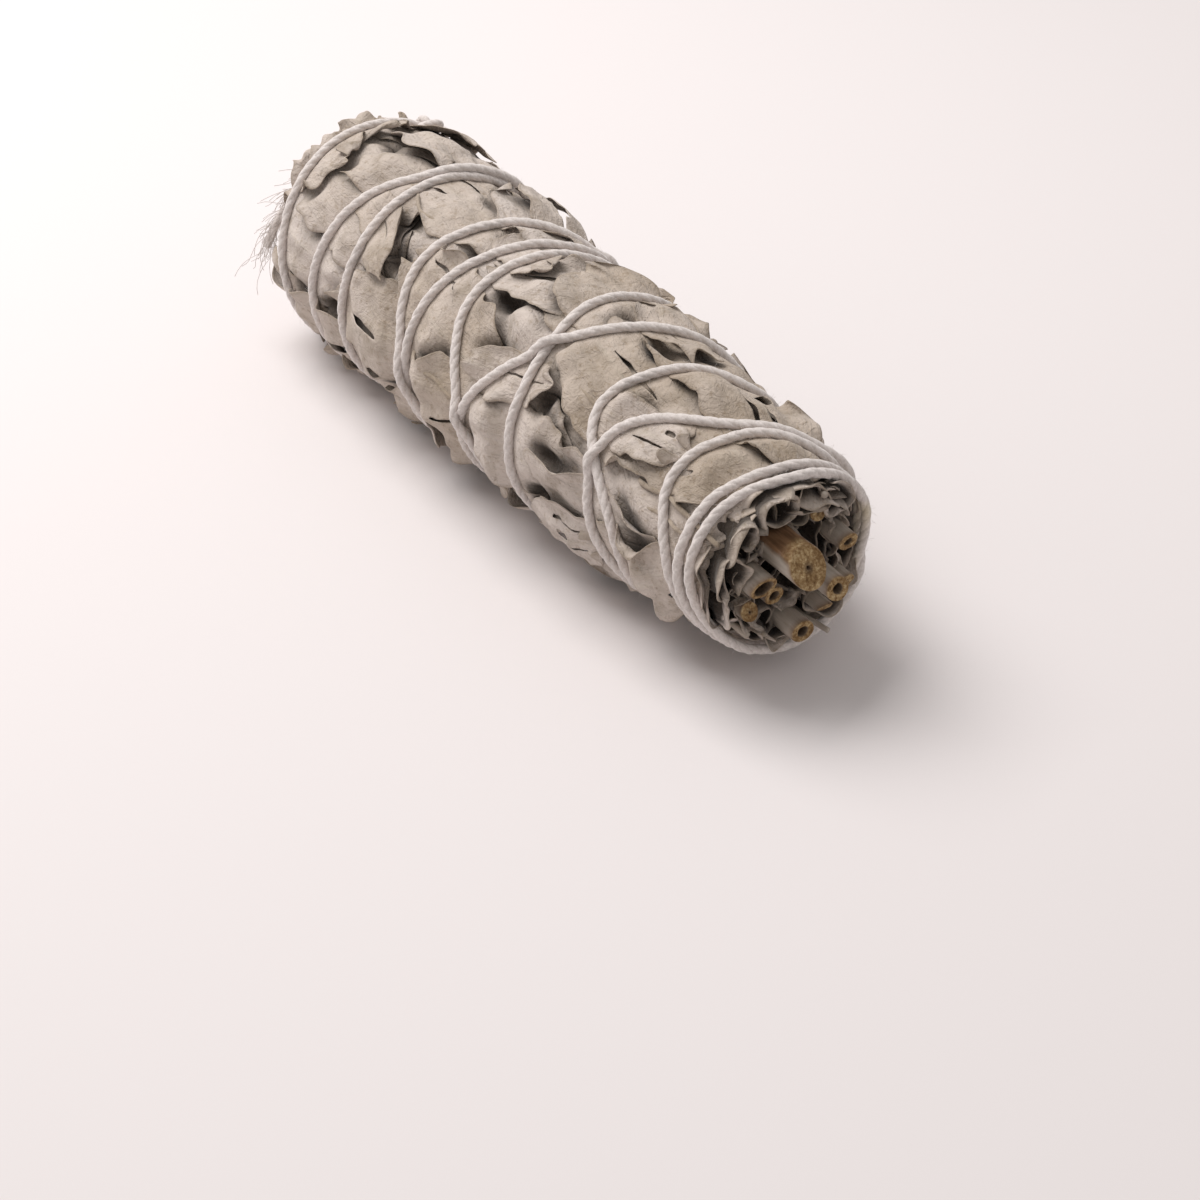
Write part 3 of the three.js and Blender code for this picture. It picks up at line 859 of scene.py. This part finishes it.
# number, place to +Y, place up, radius, how far it stands out and reaches in (mm), bore, slant of the
# cut. Places and radius are shares of the core's radius, the bore is a share of the stem's.
STEMS = [
    (1, -0.24, 0.39, 0.26, 9, 150, 0, -0.55),
    (2, -0.67, 0.05, 0.19, 4, 140, 0.66, 0.45),
    (3, -0.74, -0.37, 0.13, 1, 120, 0, -0.3),
    (4, 0.28, -0.12, 0.17, 8, 135, 0.4, -0.15),
    (5, -0.09, -0.74, 0.165, 5, 130, 0.45, 0.1),
    (6, 0.32, -0.58, 0.105, 3, 110, 0, 0.9),
    (7, 0.68, 0.24, 0.14, 2, 125, 0.4, 0.3),
    (8, 0.33, 0.68, 0.12, -1, 115, 0, -0.2),
    (9, -0.33, -0.3, 0.14, 0, 125, 0.5, 0.2),
    (10, 0.73, -0.39, 0.115, 1, 105, 0, 0.4),
]

PEELED_STEM = 1  # the thickest one, whose skin is off on one side
STEM_SIDES = 34
CUT_RINGS = 8
PITH_SHARE = 0.08  # radius of the dimple in a stem without a bore

# in from the cut: place along (mm), share of the hole's radius, how much cut wood, how much pith
INTO_BORE = [(-0.3, 1, 0.4, 0.8), (-1.5, 0.94, 0, 1), (-5, 0.9, 0, 1), (-9, 0.85, 0, 1), (-9, 0, 0, 1)]
INTO_PITH = [(-0.3, 1, 0.5, 1), (-1.2, 0.7, 0, 1), (-1.3, 0, 0, 1)]

# number, place to +Y, place up, where it opens (degrees), short of the stem end and of the tips (mm)
ROLLED_LEAVES = [
    (1, -0.58, 0.62, 120, 6, 0),
    (2, -0.09, -0.06, 250, 7, 3),
    (3, 0.27, 0.25, 40, 5, 1),
    (4, -0.06, 0.79, 95, 4, 2),
    (5, 0.65, 0.58, 10, 6, 0),
    (6, 0.8, -0.06, 300, 5, 4),
    (7, 0.05, -0.4, 200, 8, 1),
    (8, 0.55, -0.67, 330, 4, 2),
    (9, 0.2, -0.84, 270, 6, 3),
    (10, -0.43, -0.67, 225, 3, 1),
]


def spread_out(x):
    """Share by which a place in the core moves outwards at a place along the bundle."""
    return 1 + CORE_SPREAD * (HALF_LENGTH - x) / HALF_LENGTH


def make_stem(number, share_y, share_z, share_radius, beyond, reach, bore, slant):
    """One stem as a turned profile: up the skin, across the cut, and down into the bore."""
    radius = share_radius * CORE_RADIUS
    skin = np.concatenate([np.linspace(-reach, -30, 14), np.linspace(-27, -0.4, 22)])
    profile = [(-reach, 0.0, 0, 0)] + [(x, 1.0, 0, 0) for x in skin] + [(-0.05, 0.985, 0.6, 0)]
    hole = bore if bore > 0 else PITH_SHARE
    soft_middle = 0.8 if bore == 0 else 0
    for ring in np.linspace(0.95, hole * 1.12, CUT_RINGS):
        profile.append((0.05, ring, 1, soft_middle * smoothstep(0.36, 0.1, ring)))
    inward = INTO_BORE if bore > 0 else INTO_PITH
    profile += [(x, share * hole, cut, pith) for x, share, cut, pith in inward]
    profile = np.array(profile)
    x, share, cut, pith = profile[:, :1] * MM, profile[:, 1:2], profile[:, 2:3], profile[:, 3:4]
    turn = np.linspace(0, 2 * math.pi, STEM_SIDES + 1)[None, :]
    up, side = np.cos(turn) * np.ones_like(x), -np.sin(turn) * np.ones_like(x)
    seed = number * 3.1
    ring_y, ring_z = side * radius, up * radius
    lumps = 1 + 0.05 * noise_at(x, ring_y * 2 + ring_z, seed, 7 * MM)
    splinter = noise_at(ring_y * share, ring_z * share, seed + 1, 0.9 * MM)
    near_end = smoothstep(-1.2 * MM, 0, x)
    lumps = lumps * (1 + 0.03 * near_end * noise_at(ring_y, ring_z, seed + 2, 0.8 * MM))
    distance = radius * share * lumps
    end_share = smoothstep(-8 * MM, 0, x)
    end_share = np.where(share < 0.99, 1.0, end_share)
    place_x = HALF_LENGTH + beyond * MM + x + end_share * slant * distance * up
    place_x = place_x + (share < 0.99) * (cut > 0.3) * 0.28 * MM * splinter
    base = spread_out(place_x)
    points = np.stack(
        [
            AXIS.x + place_x,
            AXIS.y + share_y * CORE_RADIUS * base + distance * side,
            AXIS.z + share_z * CORE_RADIUS * base + distance * up,
        ],
        axis=-1,
    )
    turned = np.degrees(np.angle(np.exp(1j * turn))) + 9 * noise_at(x, 0 * turn, seed + 3, 3 * MM)
    bare = smoothstep(-42, -30, turned) * smoothstep(78, 62, turned) * (number == PEELED_STEM)
    bare = bare * smoothstep(-17 * MM, -13 * MM, x) * (share > 0.97)
    bare = np.maximum(bare, 0.55 * (share > 0.97) * smoothstep(-0.9 * MM, -0.2 * MM, x))
    mealy = smoothstep(-4.5 * MM, -0.5 * MM, x + 2 * MM * splinter) * smoothstep(0.5, 0.9, bare) * 0.8
    # painted shade on the skin, growing from 11 mm to 24 mm behind the stem's end
    painted_shade = smoothstep(11 * MM + beyond * MM, 24 * MM + beyond * MM, -x)
    values = {"cut": np.maximum(cut, mealy), "pith": pith, "peeled": bare, "painted_shade": painted_shade}
    piece = new_sheet(f"cut_stem_{number:02d}", points, values, STEM, seam=True)
    rounded(piece, 1)
    put_on_bundle(piece, [f"stem_{number:02d}"])


def clear_of_stems(points, room=0.45 * MM):
    """Moves points that lie inside a stem out to its skin."""
    points = points.copy()
    for _ in range(2):
        for _number, share_y, share_z, share_radius, beyond, _reach, _bore, _slant in STEMS:
            along = points[..., 0] - AXIS.x
            base = spread_out(along)
            away_y = points[..., 1] - (AXIS.y + share_y * CORE_RADIUS * base)
            away_z = points[..., 2] - (AXIS.z + share_z * CORE_RADIUS * base)
            distance = np.maximum(np.hypot(away_y, away_z), 0.01 * MM)
            inside = np.clip(share_radius * CORE_RADIUS + room - distance, 0, None)
            inside = inside * (along < HALF_LENGTH + beyond * MM + 1 * MM)
            points[..., 1] += away_y / distance * inside
            points[..., 2] += away_z / distance * inside
    points[..., 2] = np.maximum(points[..., 2], 1.2 * MM)
    return points


def kept_inside(points):
    """Draws points in under the outer leaves and the last turns of the twine."""
    points = points.copy()
    along = points[..., 0] - AXIS.x
    away_y, away_z = points[..., 1] - AXIS.y, points[..., 2] - AXIS.z
    beyond_twine = smoothstep(HALF_LENGTH - 2.5 * MM, HALF_LENGTH + 2 * MM, along)
    limit = np.interp(along, RUNS, PROFILE_RADIUS) + 2.6 * MM * beyond_twine
    radius = np.maximum(np.hypot(away_y, away_z), 1 * MM)
    room = np.clip((limit - radius) / SOFT_LIMIT, -40, 40)
    share = (limit - SOFT_LIMIT * np.log1p(np.exp(room))) / radius
    points[..., 1] = AXIS.y + away_y * share
    points[..., 2] = AXIS.z + away_z * share
    return points


def frill(name, nodes, points, width, length, seed):
    """A leaf between the stems, from the points of its sheet."""
    rows, columns = points.shape[:2]
    u, v = np.meshgrid(np.linspace(0, 1, rows), np.linspace(-1, 1, columns), indexing="ij")
    from_end = (1 - u) * length
    margin = np.minimum((1 - np.abs(v)) * width / 2, from_end)
    # painted shade: the leaf darkens further in from its end, inside the bundle
    painted_shade = smoothstep(1.2 * MM, 6.5 * MM, from_end)
    tone = random.Random(seed).random()
    points = kept_inside(clear_of_stems(points))
    leaf_sheet(name, points, u * length, v * width / 2, margin, tone, painted_shade, nodes)


# the same for more of them just under the outer leaves, where their ends show as loops
LOOPED_LEAVES = [
    (11, -0.34, 0.93, 60, 1, 130),
    (12, -0.76, 0.66, 150, 2, 130),
    (13, 0.12, 1.0, 100, 2, 130),
    (14, -0.98, 0.22, 170, 1, 130),
    (15, 0.62, 0.86, 0, 2, 130),
    (16, -0.9, -0.35, 200, 2, 130),
]


def make_rolled_leaf(number, share_y, share_z, opens, short_stem, short_tip):
    """A leaf rolled up lengthwise, its end frilled between the stems."""
    rng = random.Random(number + 900)
    start, end = (10 + short_tip) * MM - HALF_LENGTH, HALF_LENGTH - (short_stem - 2) * MM
    u = np.concatenate([np.linspace(0, 0.8, 10), np.linspace(0.82, 1, 21)])[:, None]
    t = np.linspace(0, 1, 29)[None, :]
    x = start + (end - start) * u
    frilled = smoothstep(0.72, 1.0, u)
    turn = math.radians(opens + 20) + t * math.radians(330 + rng.uniform(0, 150))
    wave = noise_at(t * 26 * MM, x, number * 5.3, 5.5 * MM)
    fine = noise_at(t * 26 * MM, x, number * 5.3 + 1, 2.6 * MM)
    distance = (1.7 + 1.6 * t) * MM + frilled * ((1.4 + 3.4 * wave + 1.2 * fine) * MM)
    drift = noise_at(x * 0.7, 0 * t, number * 2.2, 20 * MM) * 2 * MM
    base = spread_out(x)
    end_wave = smoothstep(0.9, 1, u) * noise_at(t * 22 * MM, 0 * u, number * 8.8, 6 * MM) * 3 * MM
    points = np.stack(
        [
            AXIS.x + x + end_wave,
            AXIS.y + share_y * CORE_RADIUS * base - distance * np.sin(turn) + drift,
            AXIS.z + share_z * CORE_RADIUS * base + distance * np.cos(turn) + drift * 0.5,
        ],
        axis=-1,
    )
    nodes = [f"inner_leaf_{number:02d}"] if number <= len(ROLLED_LEAVES) else []
    frill(f"rolled_leaf_{number:02d}", nodes, points, 20 * MM, end - start, number)


FRILLS = 31
FRILL_RADIUS = 19 * MM  # turns the angle that a frilled leaf spans into its width

# the folded leaf ends on the near upper side: angle (degrees), depth (mm), span (degrees), end along
# the bundle, height and length of the waves, and lean (mm). The rest lie all round.
NEAR_FRILLS = [
    (15, 2.0, 62, 95.5, 3.0, 8, 2.0),
    (48, 2.6, 58, 95.5, 3.2, 8, 2.0),
    (98, 1.8, 66, 96.5, 2.6, 10, 1.5),
]


def make_frilled_leaf(number, angle, depth, span, end, wave_height, wave_length, lean):
    """A leaf just inside the outer ones, its end crumpled into frills at the cut end."""
    length = 44 * MM
    u = np.concatenate([np.linspace(0, 0.5, 4), np.linspace(0.53, 1, 20)])[:, None]
    t = np.linspace(-1, 1, 31)[None, :]
    x = end - (1 - u) * length
    grow = smoothstep(0.35, 1.0, u)
    radius = np.interp(x, RUNS, PROFILE_RADIUS) - depth
    arc = t * span / 2 * FRILL_RADIUS
    seed = number * 4.7
    wave = noise_at(arc, x, seed, wave_length)
    fine = noise_at(arc, x, seed + 1, wave_length * 0.4)
    radius = radius + grow * (wave_height * (1.7 * wave + 0.45 * fine) + lean * u)
    shift = noise_at(arc, x, seed + 2, wave_length * 1.2)
    turn = angle + t * span / 2 * (1 - 0.25 * (1 - u)) + grow * shift * wave_height * 1.6 / (17 * MM)
    ragged = noise_at(arc, 0 * u, seed + 3, 5 * MM) * 3.2 * MM
    cut_back = -(np.abs(t) ** 3) * 7 * MM
    place_x = x + smoothstep(0.7, 1, u) * (ragged + cut_back)
    points = round_axis(place_x, radius, turn)
    frill(f"frilled_leaf_{number:02d}", [], points, span * FRILL_RADIUS, length, number + 30)


def make_core():
    for stem in STEMS:
        make_stem(*stem)
    for rolled in ROLLED_LEAVES + LOOPED_LEAVES:
        make_rolled_leaf(*rolled)
    for number, (angle, depth, span, end, height, wave, lean) in enumerate(NEAR_FRILLS, 1):
        angle, span = math.radians(angle), math.radians(span)
        make_frilled_leaf(number, angle, depth * MM, span, end * MM, height * MM, wave * MM, lean * MM)
    rng = random.Random(5)
    for number in range(len(NEAR_FRILLS) + 1, FRILLS + 1):
        angle = number * GOLDEN_TURN
        depth = (1.2 + 11.0 * ((number * 7) % 30) / 30) * MM
        span = rng.uniform(0.9, 1.5)
        end = HALF_LENGTH + (2.0 - rng.uniform(0, 5) - 0.12 * depth / MM) * MM
        height, wave = rng.uniform(1.6, 3.0) * MM, rng.uniform(5.5, 8.5) * MM
        lean = rng.uniform(-2, 1) * MM
        make_frilled_leaf(number, angle, depth, span, end, height, wave, lean)


make_core()

# ---- Leaf tips that stand out at the leaf-tip end ----


TIP_START = -82.5 * MM
CLOSING_LEAVES = 8

# angle (degrees), length, how far it flares and how deep it starts (mm): a ridge on top, then four
# further round
TIPS = [
    (-30, 12, 0.6, 0.6),
    (-12, 15, 0.6, 0.8),
    (4, 14, 1.6, 0.3),
    (20, 10, 0.5, 0.5),
    (-20, 12, -1.5, 2.5),
    (-48, 9, -0.6, 0.8),
    (32, 12, 1.0, 0.6),
    (118, 8, 0.5, 0),
    (-85, 10, 1.0, 0),
    (-120, 9, 0.5, 0.5),
    (150, 8, 0, 0),
]


def make_standing_tip(number, angle, start, length, width, flare, depth):
    """A crumpled leaf tip that runs straight out instead of bending in over the end."""
    seed = number * 6.1
    u = np.linspace(0, 1, 24)[:, None]
    t = np.linspace(-1, 1, 19)[None, :]
    out = u * length
    half_width = 0.5 * width * (1 - 0.5 * smoothstep(0.35, 1, u) ** 1.3)
    half_width = half_width * (1 + 0.35 * noise_at(out, np.sign(t) * 4 * MM, seed, 4 * MM))
    ragged = smoothstep(0.7, 1, u) * 2.5 * MM * noise_at(t * 8 * MM, 0 * u, seed + 1, 3.5 * MM)
    x = start - out + ragged
    arc = t * half_width
    grow = smoothstep(0.1, 0.9, u)
    crumple = 3.0 * noise_at(arc, out, seed + 2, 5 * MM) + 1.4 * noise_at(arc, out, seed + 3, 2.4 * MM)
    radius = flank_radius(x) + (1.2 * MM - depth) + grow * (crumple * MM + flare * u)
    cup = grow * 1.6 * MM * (t**2)
    turn = angle + arc / (22 * MM) + grow * 0.06 * noise_at(out, arc, seed + 4, 6 * MM)
    points = round_axis(x, radius + cup, turn)
    points[..., 2] = np.maximum(points[..., 2], LEAF_REST)
    margin = np.minimum((1 - np.abs(t)) * half_width, (1 - u) * length)
    tone = random.Random(number).random()
    leaf_sheet(f"leaf_tip_{number:02d}", points, out, arc, margin, tone, 0.0)


def make_tips():
    for number, (angle, length, flare, depth) in enumerate(TIPS, 1):
        width = (13 + 4 * math.sin(number * 2.1)) * MM
        turn, length = math.radians(angle), (length - 1.5) * MM
        make_standing_tip(number, turn, TIP_START, length, width, flare * MM, depth * MM)


def make_closing_leaf(number):
    """A crumpled leaf that lies across the leaf-tip end and closes it."""
    seed = number * 9.7
    s = np.linspace(-1, 1, 25)[:, None]
    t = np.linspace(-1, 1, 19)[None, :]
    length, width = (24 + 3 * math.sin(number)) * MM, 17 * MM
    outline = np.sqrt(np.clip(1 - 0.92 * s**2, 0, 1))
    outline = outline * (1 + 0.25 * noise_at(s * length, np.sign(t) * 4 * MM, seed, 4 * MM))
    long_way = s * length / 2 + 0 * t
    wide_way = t * width / 2 * outline
    turn = number * GOLDEN_TURN
    offset = (3.5 + 1.1 * number) * MM
    y = math.cos(turn) * long_way - math.sin(turn) * (wide_way + offset)
    z = math.sin(turn) * long_way + math.cos(turn) * (wide_way + offset)
    crumple = 2.2 * MM * (creased(long_way, wide_way, seed + 1, 8 * MM) - 0.5)
    crumple += 1.3 * MM * noise_at(long_way, wide_way, seed + 2, 4 * MM)
    bowl = 5.5 * MM * (np.hypot(y, z) / (17 * MM)) ** 2
    x = -HALF_LENGTH + (6.5 - 0.6 * number) * MM + bowl + crumple
    points = np.stack([AXIS.x + x, AXIS.y + y, np.maximum(AXIS.z + z, LEAF_REST)], axis=-1)
    margin = np.minimum((1 - np.abs(t)) * outline * width / 2, (1 - np.abs(s)) * length / 2)
    tone = random.Random(number + 60).random()
    # painted shade towards the leaf's rim, where it bends in under the leaves over the shoulder
    painted_shade = 0.5 * smoothstep(7 * MM, 15 * MM, np.hypot(y, z))
    name = f"closing_leaf_{number:02d}"
    leaf_sheet(name, points, long_way + length / 2, wide_way, margin, tone, painted_shade)


make_tips()
for closing_number in range(1, CLOSING_LEAVES + 1):
    make_closing_leaf(closing_number)

# ---- Twine ----

STRANDS = 3
STRAND_RADIUS = 0.76 * TWINE_RADIUS
STRAND_OFFSET = 0.25 * TWINE_RADIUS
FUZZ_FIBRES = 2200
FRAYED_FIBRES = 150


def strand_mesh(name, lines, radius, resolution, material):
    """One mesh of round strands along the given lines of points."""
    curve = bpy.data.curves.new(name, "CURVE")
    curve.dimensions = "3D"
    curve.bevel_depth = 1.0
    curve.bevel_resolution = resolution
    curve.use_fill_caps = True
    for line in lines:
        spline = curve.splines.new("POLY")
        spline.points.add(len(line) - 1)
        spline.points.foreach_set("co", np.column_stack([line, np.ones(len(line))]).ravel())
        spline.points.foreach_set("radius", np.full(len(line), radius))
    holder = bpy.data.objects.new(name, curve)
    bpy.context.scene.collection.objects.link(holder)
    evaluated = holder.evaluated_get(bpy.context.evaluated_depsgraph_get())
    mesh = bpy.data.meshes.new_from_object(evaluated)
    bpy.data.objects.remove(holder)
    bm = bmesh.new()
    bm.from_mesh(mesh)
    bmesh.ops.remove_doubles(bm, verts=bm.verts, dist=0.0001 * MM)
    bm.to_mesh(mesh)
    bm.free()
    mesh.name = name
    mesh.materials.clear()
    mesh.materials.append(material)
    mesh.shade_smooth()
    piece = bpy.data.objects.new(name, mesh)
    bpy.context.scene.collection.objects.link(piece)
    return piece


def twisted(path, outward, pitch=TWINE_PITCH):
    """Lines of the strands that twist round a path. outward points across the path."""
    path = np.asarray(path)
    steps = np.diff(path, axis=0, prepend=path[:1])
    length = np.cumsum(np.linalg.norm(steps, axis=1))
    tangent = np.gradient(path, axis=0)
    tangent /= np.linalg.norm(tangent, axis=1, keepdims=True)
    side = np.cross(tangent, outward)
    side /= np.linalg.norm(side, axis=1, keepdims=True)
    up = np.cross(side, tangent)
    uneven = averaged(noise_along(length / (9 * MM), 1.5), 3)
    lines = []
    for strand in range(STRANDS):
        turn = 2 * math.pi * (length / pitch + strand / STRANDS) + 1.2 * uneven
        offset = np.cos(turn)[:, None] * up + np.sin(turn)[:, None] * side
        lines.append(path + STRAND_OFFSET * offset)
    return lines


def lift_over(running, step):
    """Height at which each part of the twine rides over the passes laid before it."""
    reach = 1.7 * (2 * TWINE_RADIUS)
    per_turn = int(round(360 / step))
    x = route_place(running)
    lift = np.zeros(len(running))
    for i in range(len(running)):
        earlier = np.arange(i - per_turn, -1, -per_turn)
        if len(earlier) == 0:
            continue
        apart = np.abs(x[i] - x[earlier])
        share = np.cos(np.clip(apart / reach, 0, 1) * math.pi / 2) ** 2
        lift[i] = np.max(share * (TWINE_LIFT + lift[earlier]))
    return lift


def averaged(values, reach):
    kernel = np.hanning(2 * reach + 3)[1:-1]
    kernel /= kernel.sum()
    return np.convolve(np.pad(values, reach, mode="edge"), kernel, mode="valid")


def twine_line():
    """The middle line of the whole winding, and the way out from the bundle along it."""
    step = 1.5
    running = np.arange(TWINE_START, TWINE_END, step)
    angle = np.radians(running)
    run = run_of(route_place(running))
    wander = averaged(noise_along(running * 0.11, 4.4), 2)
    ride_up = averaged(lift_over(running, step), 4)
    height = sample(seat, run, angle) - TWINE_BITE + TWINE_RADIUS + ride_up
    run = run + 0.35 * MM * wander
    rest = TWINE_RADIUS + 0.1 * MM
    path = on_surface(run, angle, height, rest)
    outward = on_surface(run, angle, height + 1 * MM) - on_surface(run, angle, height - 1 * MM)
    return path, outward


def fuzz_lines(path, outward, count, seed, longest=2.2 * MM):
    """Short loose fibres that stand off a twine."""
    rng = random.Random(seed)
    lines = []
    for _ in range(count):
        i = rng.randrange(4, len(path) - 4)
        tangent = Vector(path[i + 1] - path[i - 1]).normalized()
        away = Vector(outward[i]).normalized()
        away.rotate(Matrix.Rotation(rng.uniform(-2.0, 2.0), 3, tangent))
        start = Vector(path[i]) + away * TWINE_RADIUS * 0.9
        reach = rng.uniform(0.35, 1.0) * longest
        lean = tangent * rng.uniform(-1, 1)
        points = [start + (away * 0.35 * t + lean * t + away * 0.25 * t * t) * reach for t in (0, 0.5, 1)]
        points = [(p.x, p.y, max(p.z, 0.1 * MM)) for p in points]
        lines.append(np.array(points))
    return lines


def knot_line():
    """An overhand knot, seated on the leaves where the two ends of the twine meet."""
    run, angle = run_of(np.array(KNOT_PLACE)), math.radians(KNOT_ANGLE)
    height = float(sample(seat, run, np.array(angle))) + TWINE_RADIUS + 0.2 * MM
    middle = on_surface(run, angle, height)
    out = on_surface(run, angle, height + 1 * MM) - middle
    out /= np.linalg.norm(out)
    round_way = np.array([0, -math.cos(angle), -math.sin(angle)])
    back_way = np.cross(round_way, out)
    turn = np.linspace(0, 4 * math.pi, 160)
    reach = 2.6 * MM
    wide = reach * (2 + np.cos(1.5 * turn)) * 0.5
    flat = np.outer(wide * np.cos(turn), back_way) + np.outer(wide * np.sin(turn), round_way)
    path = middle + flat + np.outer(0.62 * reach * np.sin(1.5 * turn), out)
    way_out = np.linspace(path[-1], np.array(TAIL_EXIT), 14)[1:]
    path = np.concatenate([path, way_out])
    return path, np.tile(out, (len(path), 1))


# The free end: where it leaves the knot, and its way from there in millimetres.
TAIL_EXIT = Vector((-98.15 * MM, 12.36 * MM, 43.35 * MM))
TAIL_ROUTE = [
    (0, 0, 0),
    (-3.4, -1.4, -1.4),
    (-6.2, -5.6, -1.4),
    (-7.4, -12.1, -1.9),
    (-7.5, -20.1, -3.9),
    (-7.5, -27.1, -7.9),
    (-7.7, -32.6, -13.9),
    (-8.4, -36.1, -20.9),
]


def tail_line():
    """A smooth line through the points of the tail."""
    stops = np.array([Vector(p) * MM + TAIL_EXIT for p in TAIL_ROUTE])
    return smoothly_through(stops, np.linspace(0, len(stops) - 1, 120))


def fray_lines(path, count, seed):
    """Fine fibres that leave the last part of the tail and spread."""
    rng = random.Random(seed)
    lines = []
    for _ in range(count):
        i = rng.randrange(int(len(path) * 0.5), len(path) - 2)
        forward = Vector(path[i + 1] - path[i - 1]).normalized()
        side = Vector((rng.gauss(0, 1), rng.gauss(0, 1), rng.gauss(0, 0.6))).normalized()
        reach = rng.uniform(3, 9) * MM
        start = Vector(path[i]) + side * 0.5 * TWINE_RADIUS
        bend = Vector((rng.uniform(-0.2, 0.5), rng.gauss(0, 0.6), rng.uniform(-0.9, 0.3)))
        twirl, curl = rng.uniform(0, 6.3), rng.uniform(0.06, 0.2)
        line = []
        for step in range(12):
            t = step / 11
            coil = Vector((0, math.cos(twirl + 7 * t), math.sin(twirl + 7 * t))) * curl * t
            point = start + (forward * t + side * 0.35 * t + bend * t * t * 0.6 + coil) * reach
            line.append((max(point.x, path[-1][0] - 2 * MM), point.y, point.z))
        lines.append(np.array(line))
    return lines


def make_twine():
    path, outward = twine_line()
    winding = strand_mesh("twine_winding", twisted(path, outward), STRAND_RADIUS, 2, TWINE)
    put_on_bundle(winding, ["twine_wrap"])
    loose = fuzz_lines(path, outward, FUZZ_FIBRES, 3)
    put_on_bundle(strand_mesh("twine_fuzz", loose, 0.018 * MM, 0, TWINE))
    knot, knot_out = knot_line()
    knot_strands = twisted(knot, knot_out, 5 * MM)
    tied = strand_mesh("tied_knot", knot_strands, 0.9 * STRAND_RADIUS, 2, TWINE)
    put_on_bundle(tied, ["twine_knot"])
    tail = tail_line()
    tail_out = np.tile([-0.3, 0.2, 1.0], (len(tail), 1))
    tail_piece = strand_mesh("loose_end", twisted(tail, tail_out, 10 * MM), STRAND_RADIUS, 2, TWINE)
    put_on_bundle(tail_piece, ["twine_tail"])
    frayed = fray_lines(tail, FRAYED_FIBRES, 9)
    fray = strand_mesh("frayed_fibres", frayed, 0.07 * MM, 0, TWINE)
    put_on_bundle(fray)


make_twine()

# ---- Leaf stalks that stick out between the stems ----

# places along, to +Y and up from the axis, and the radius, in millimetres
STALKS = [
    ([(66, -13, 9), (84, -12.5, 9), (89.5, -10, 9.4), (92.5, -6.2, 9.8)], 0.95),
    ([(66, 9, 12), (85, 8, 13), (91, 7, 14), (94.5, 5.5, 15.5)], 0.7),
    ([(66, -14, -8), (82, -14, -9), (90, -13.4, -10), (95, -12, -11.5)], 0.7),
    ([(66, 3, -13), (82, 4, -14), (90, 5, -15), (96, 7, -16)], 0.6),
]

# stalks that lie along the outside: angle (degrees), from and to along the bundle and radius (mm)
OUTER_STALKS = [
    (56, 64, 91, 0.55),
    (64, 60, 88, 0.45),
    (38, 26, 46, 0.45),
    (82, -22, 4, 0.5),
    (14, -60, -36, 0.45),
    (-40, 10, 40, 0.5),
    (-95, -50, -20, 0.5),
    (-70, 58, 90, 0.5),
    (150, 20, 60, 0.5),
]


def make_outer_stalks():
    for number, (angle, start, end, radius) in enumerate(OUTER_STALKS, 1):
        run = np.linspace(start, end, 40) * MM
        share = np.linspace(0, 1, 40)
        wander = noise_along(run / (14 * MM), number * 3.3)
        turn = math.radians(angle) + wander * 0.16 + 0.08 * share
        own_height = sample(settled, run, turn) + 0.75 * sample(shared, run, turn) + 0.4 * MM
        under_twine = smoothstep(4 * MM, 1 * MM, sample(TWINE_AWAY, run, turn))
        height = averaged(own_height - 0.5 * MM * under_twine, 2)
        line = on_surface(run, turn, height - 1.6 * MM * np.abs(2 * share - 1) ** 8)
        stalk = strand_mesh(f"outer_stalk_{number:02d}", [line], radius * MM, 3, LEAF)
        put_on_bundle(stalk)


def make_stalks():
    for number, (stops, radius) in enumerate(STALKS, 1):
        stops = np.array(stops) * MM + np.array(AXIS)
        at = np.linspace(0, len(stops) - 1, 30)
        line = np.stack([np.interp(at, range(len(stops)), stops[:, i]) for i in range(3)], axis=-1)
        line[3:-3] = sum(line[3 + i : len(line) - 3 + i] for i in range(-3, 4)) / 7
        stalk = strand_mesh(f"leaf_stalk_{number:02d}", [line], radius * MM, 3, STEM)
        put_on_bundle(stalk)


make_stalks()
make_outer_stalks()

# ---- Floor and light ----


def make_floor():
    bm = bmesh.new()
    bmesh.ops.create_grid(bm, x_segments=1, y_segments=1, size=4)
    material, _tree, shader, _place = new_material("pale floor", 0.9)
    shader.inputs["Base Color"].default_value = (0.765, 0.718, 0.711, 1)
    floor = new_object("floor", bm, material, smooth=False)


def area_light(name, place, target, size, power, color):
    data = bpy.data.lights.new(name, "AREA")
    data.shape = "RECTANGLE"
    data.size, data.size_y = size
    data.energy = power
    data.color = color
    light = bpy.data.objects.new(name, data)
    light.location = place
    light.rotation_euler = (Vector(target) - Vector(place)).to_track_quat("-Z", "Y").to_euler()
    bpy.context.scene.collection.objects.link(light)


def make_light():
    world = bpy.data.worlds.new("studio")
    world.use_nodes = True
    background = world.node_tree.nodes["Background"]
    background.inputs["Color"].default_value = (1.0, 0.975, 0.965, 1)
    background.inputs["Strength"].default_value = 0.5
    bpy.context.scene.world = world
    middle = (0, 0, 0.02)
    area_light("top light", (-0.45, -0.2, 0.85), middle, (0.7, 0.7), 9.5, (1.0, 0.985, 0.98))
    view = bpy.context.scene.view_settings
    view.view_transform = "Standard"


make_floor()
make_light()
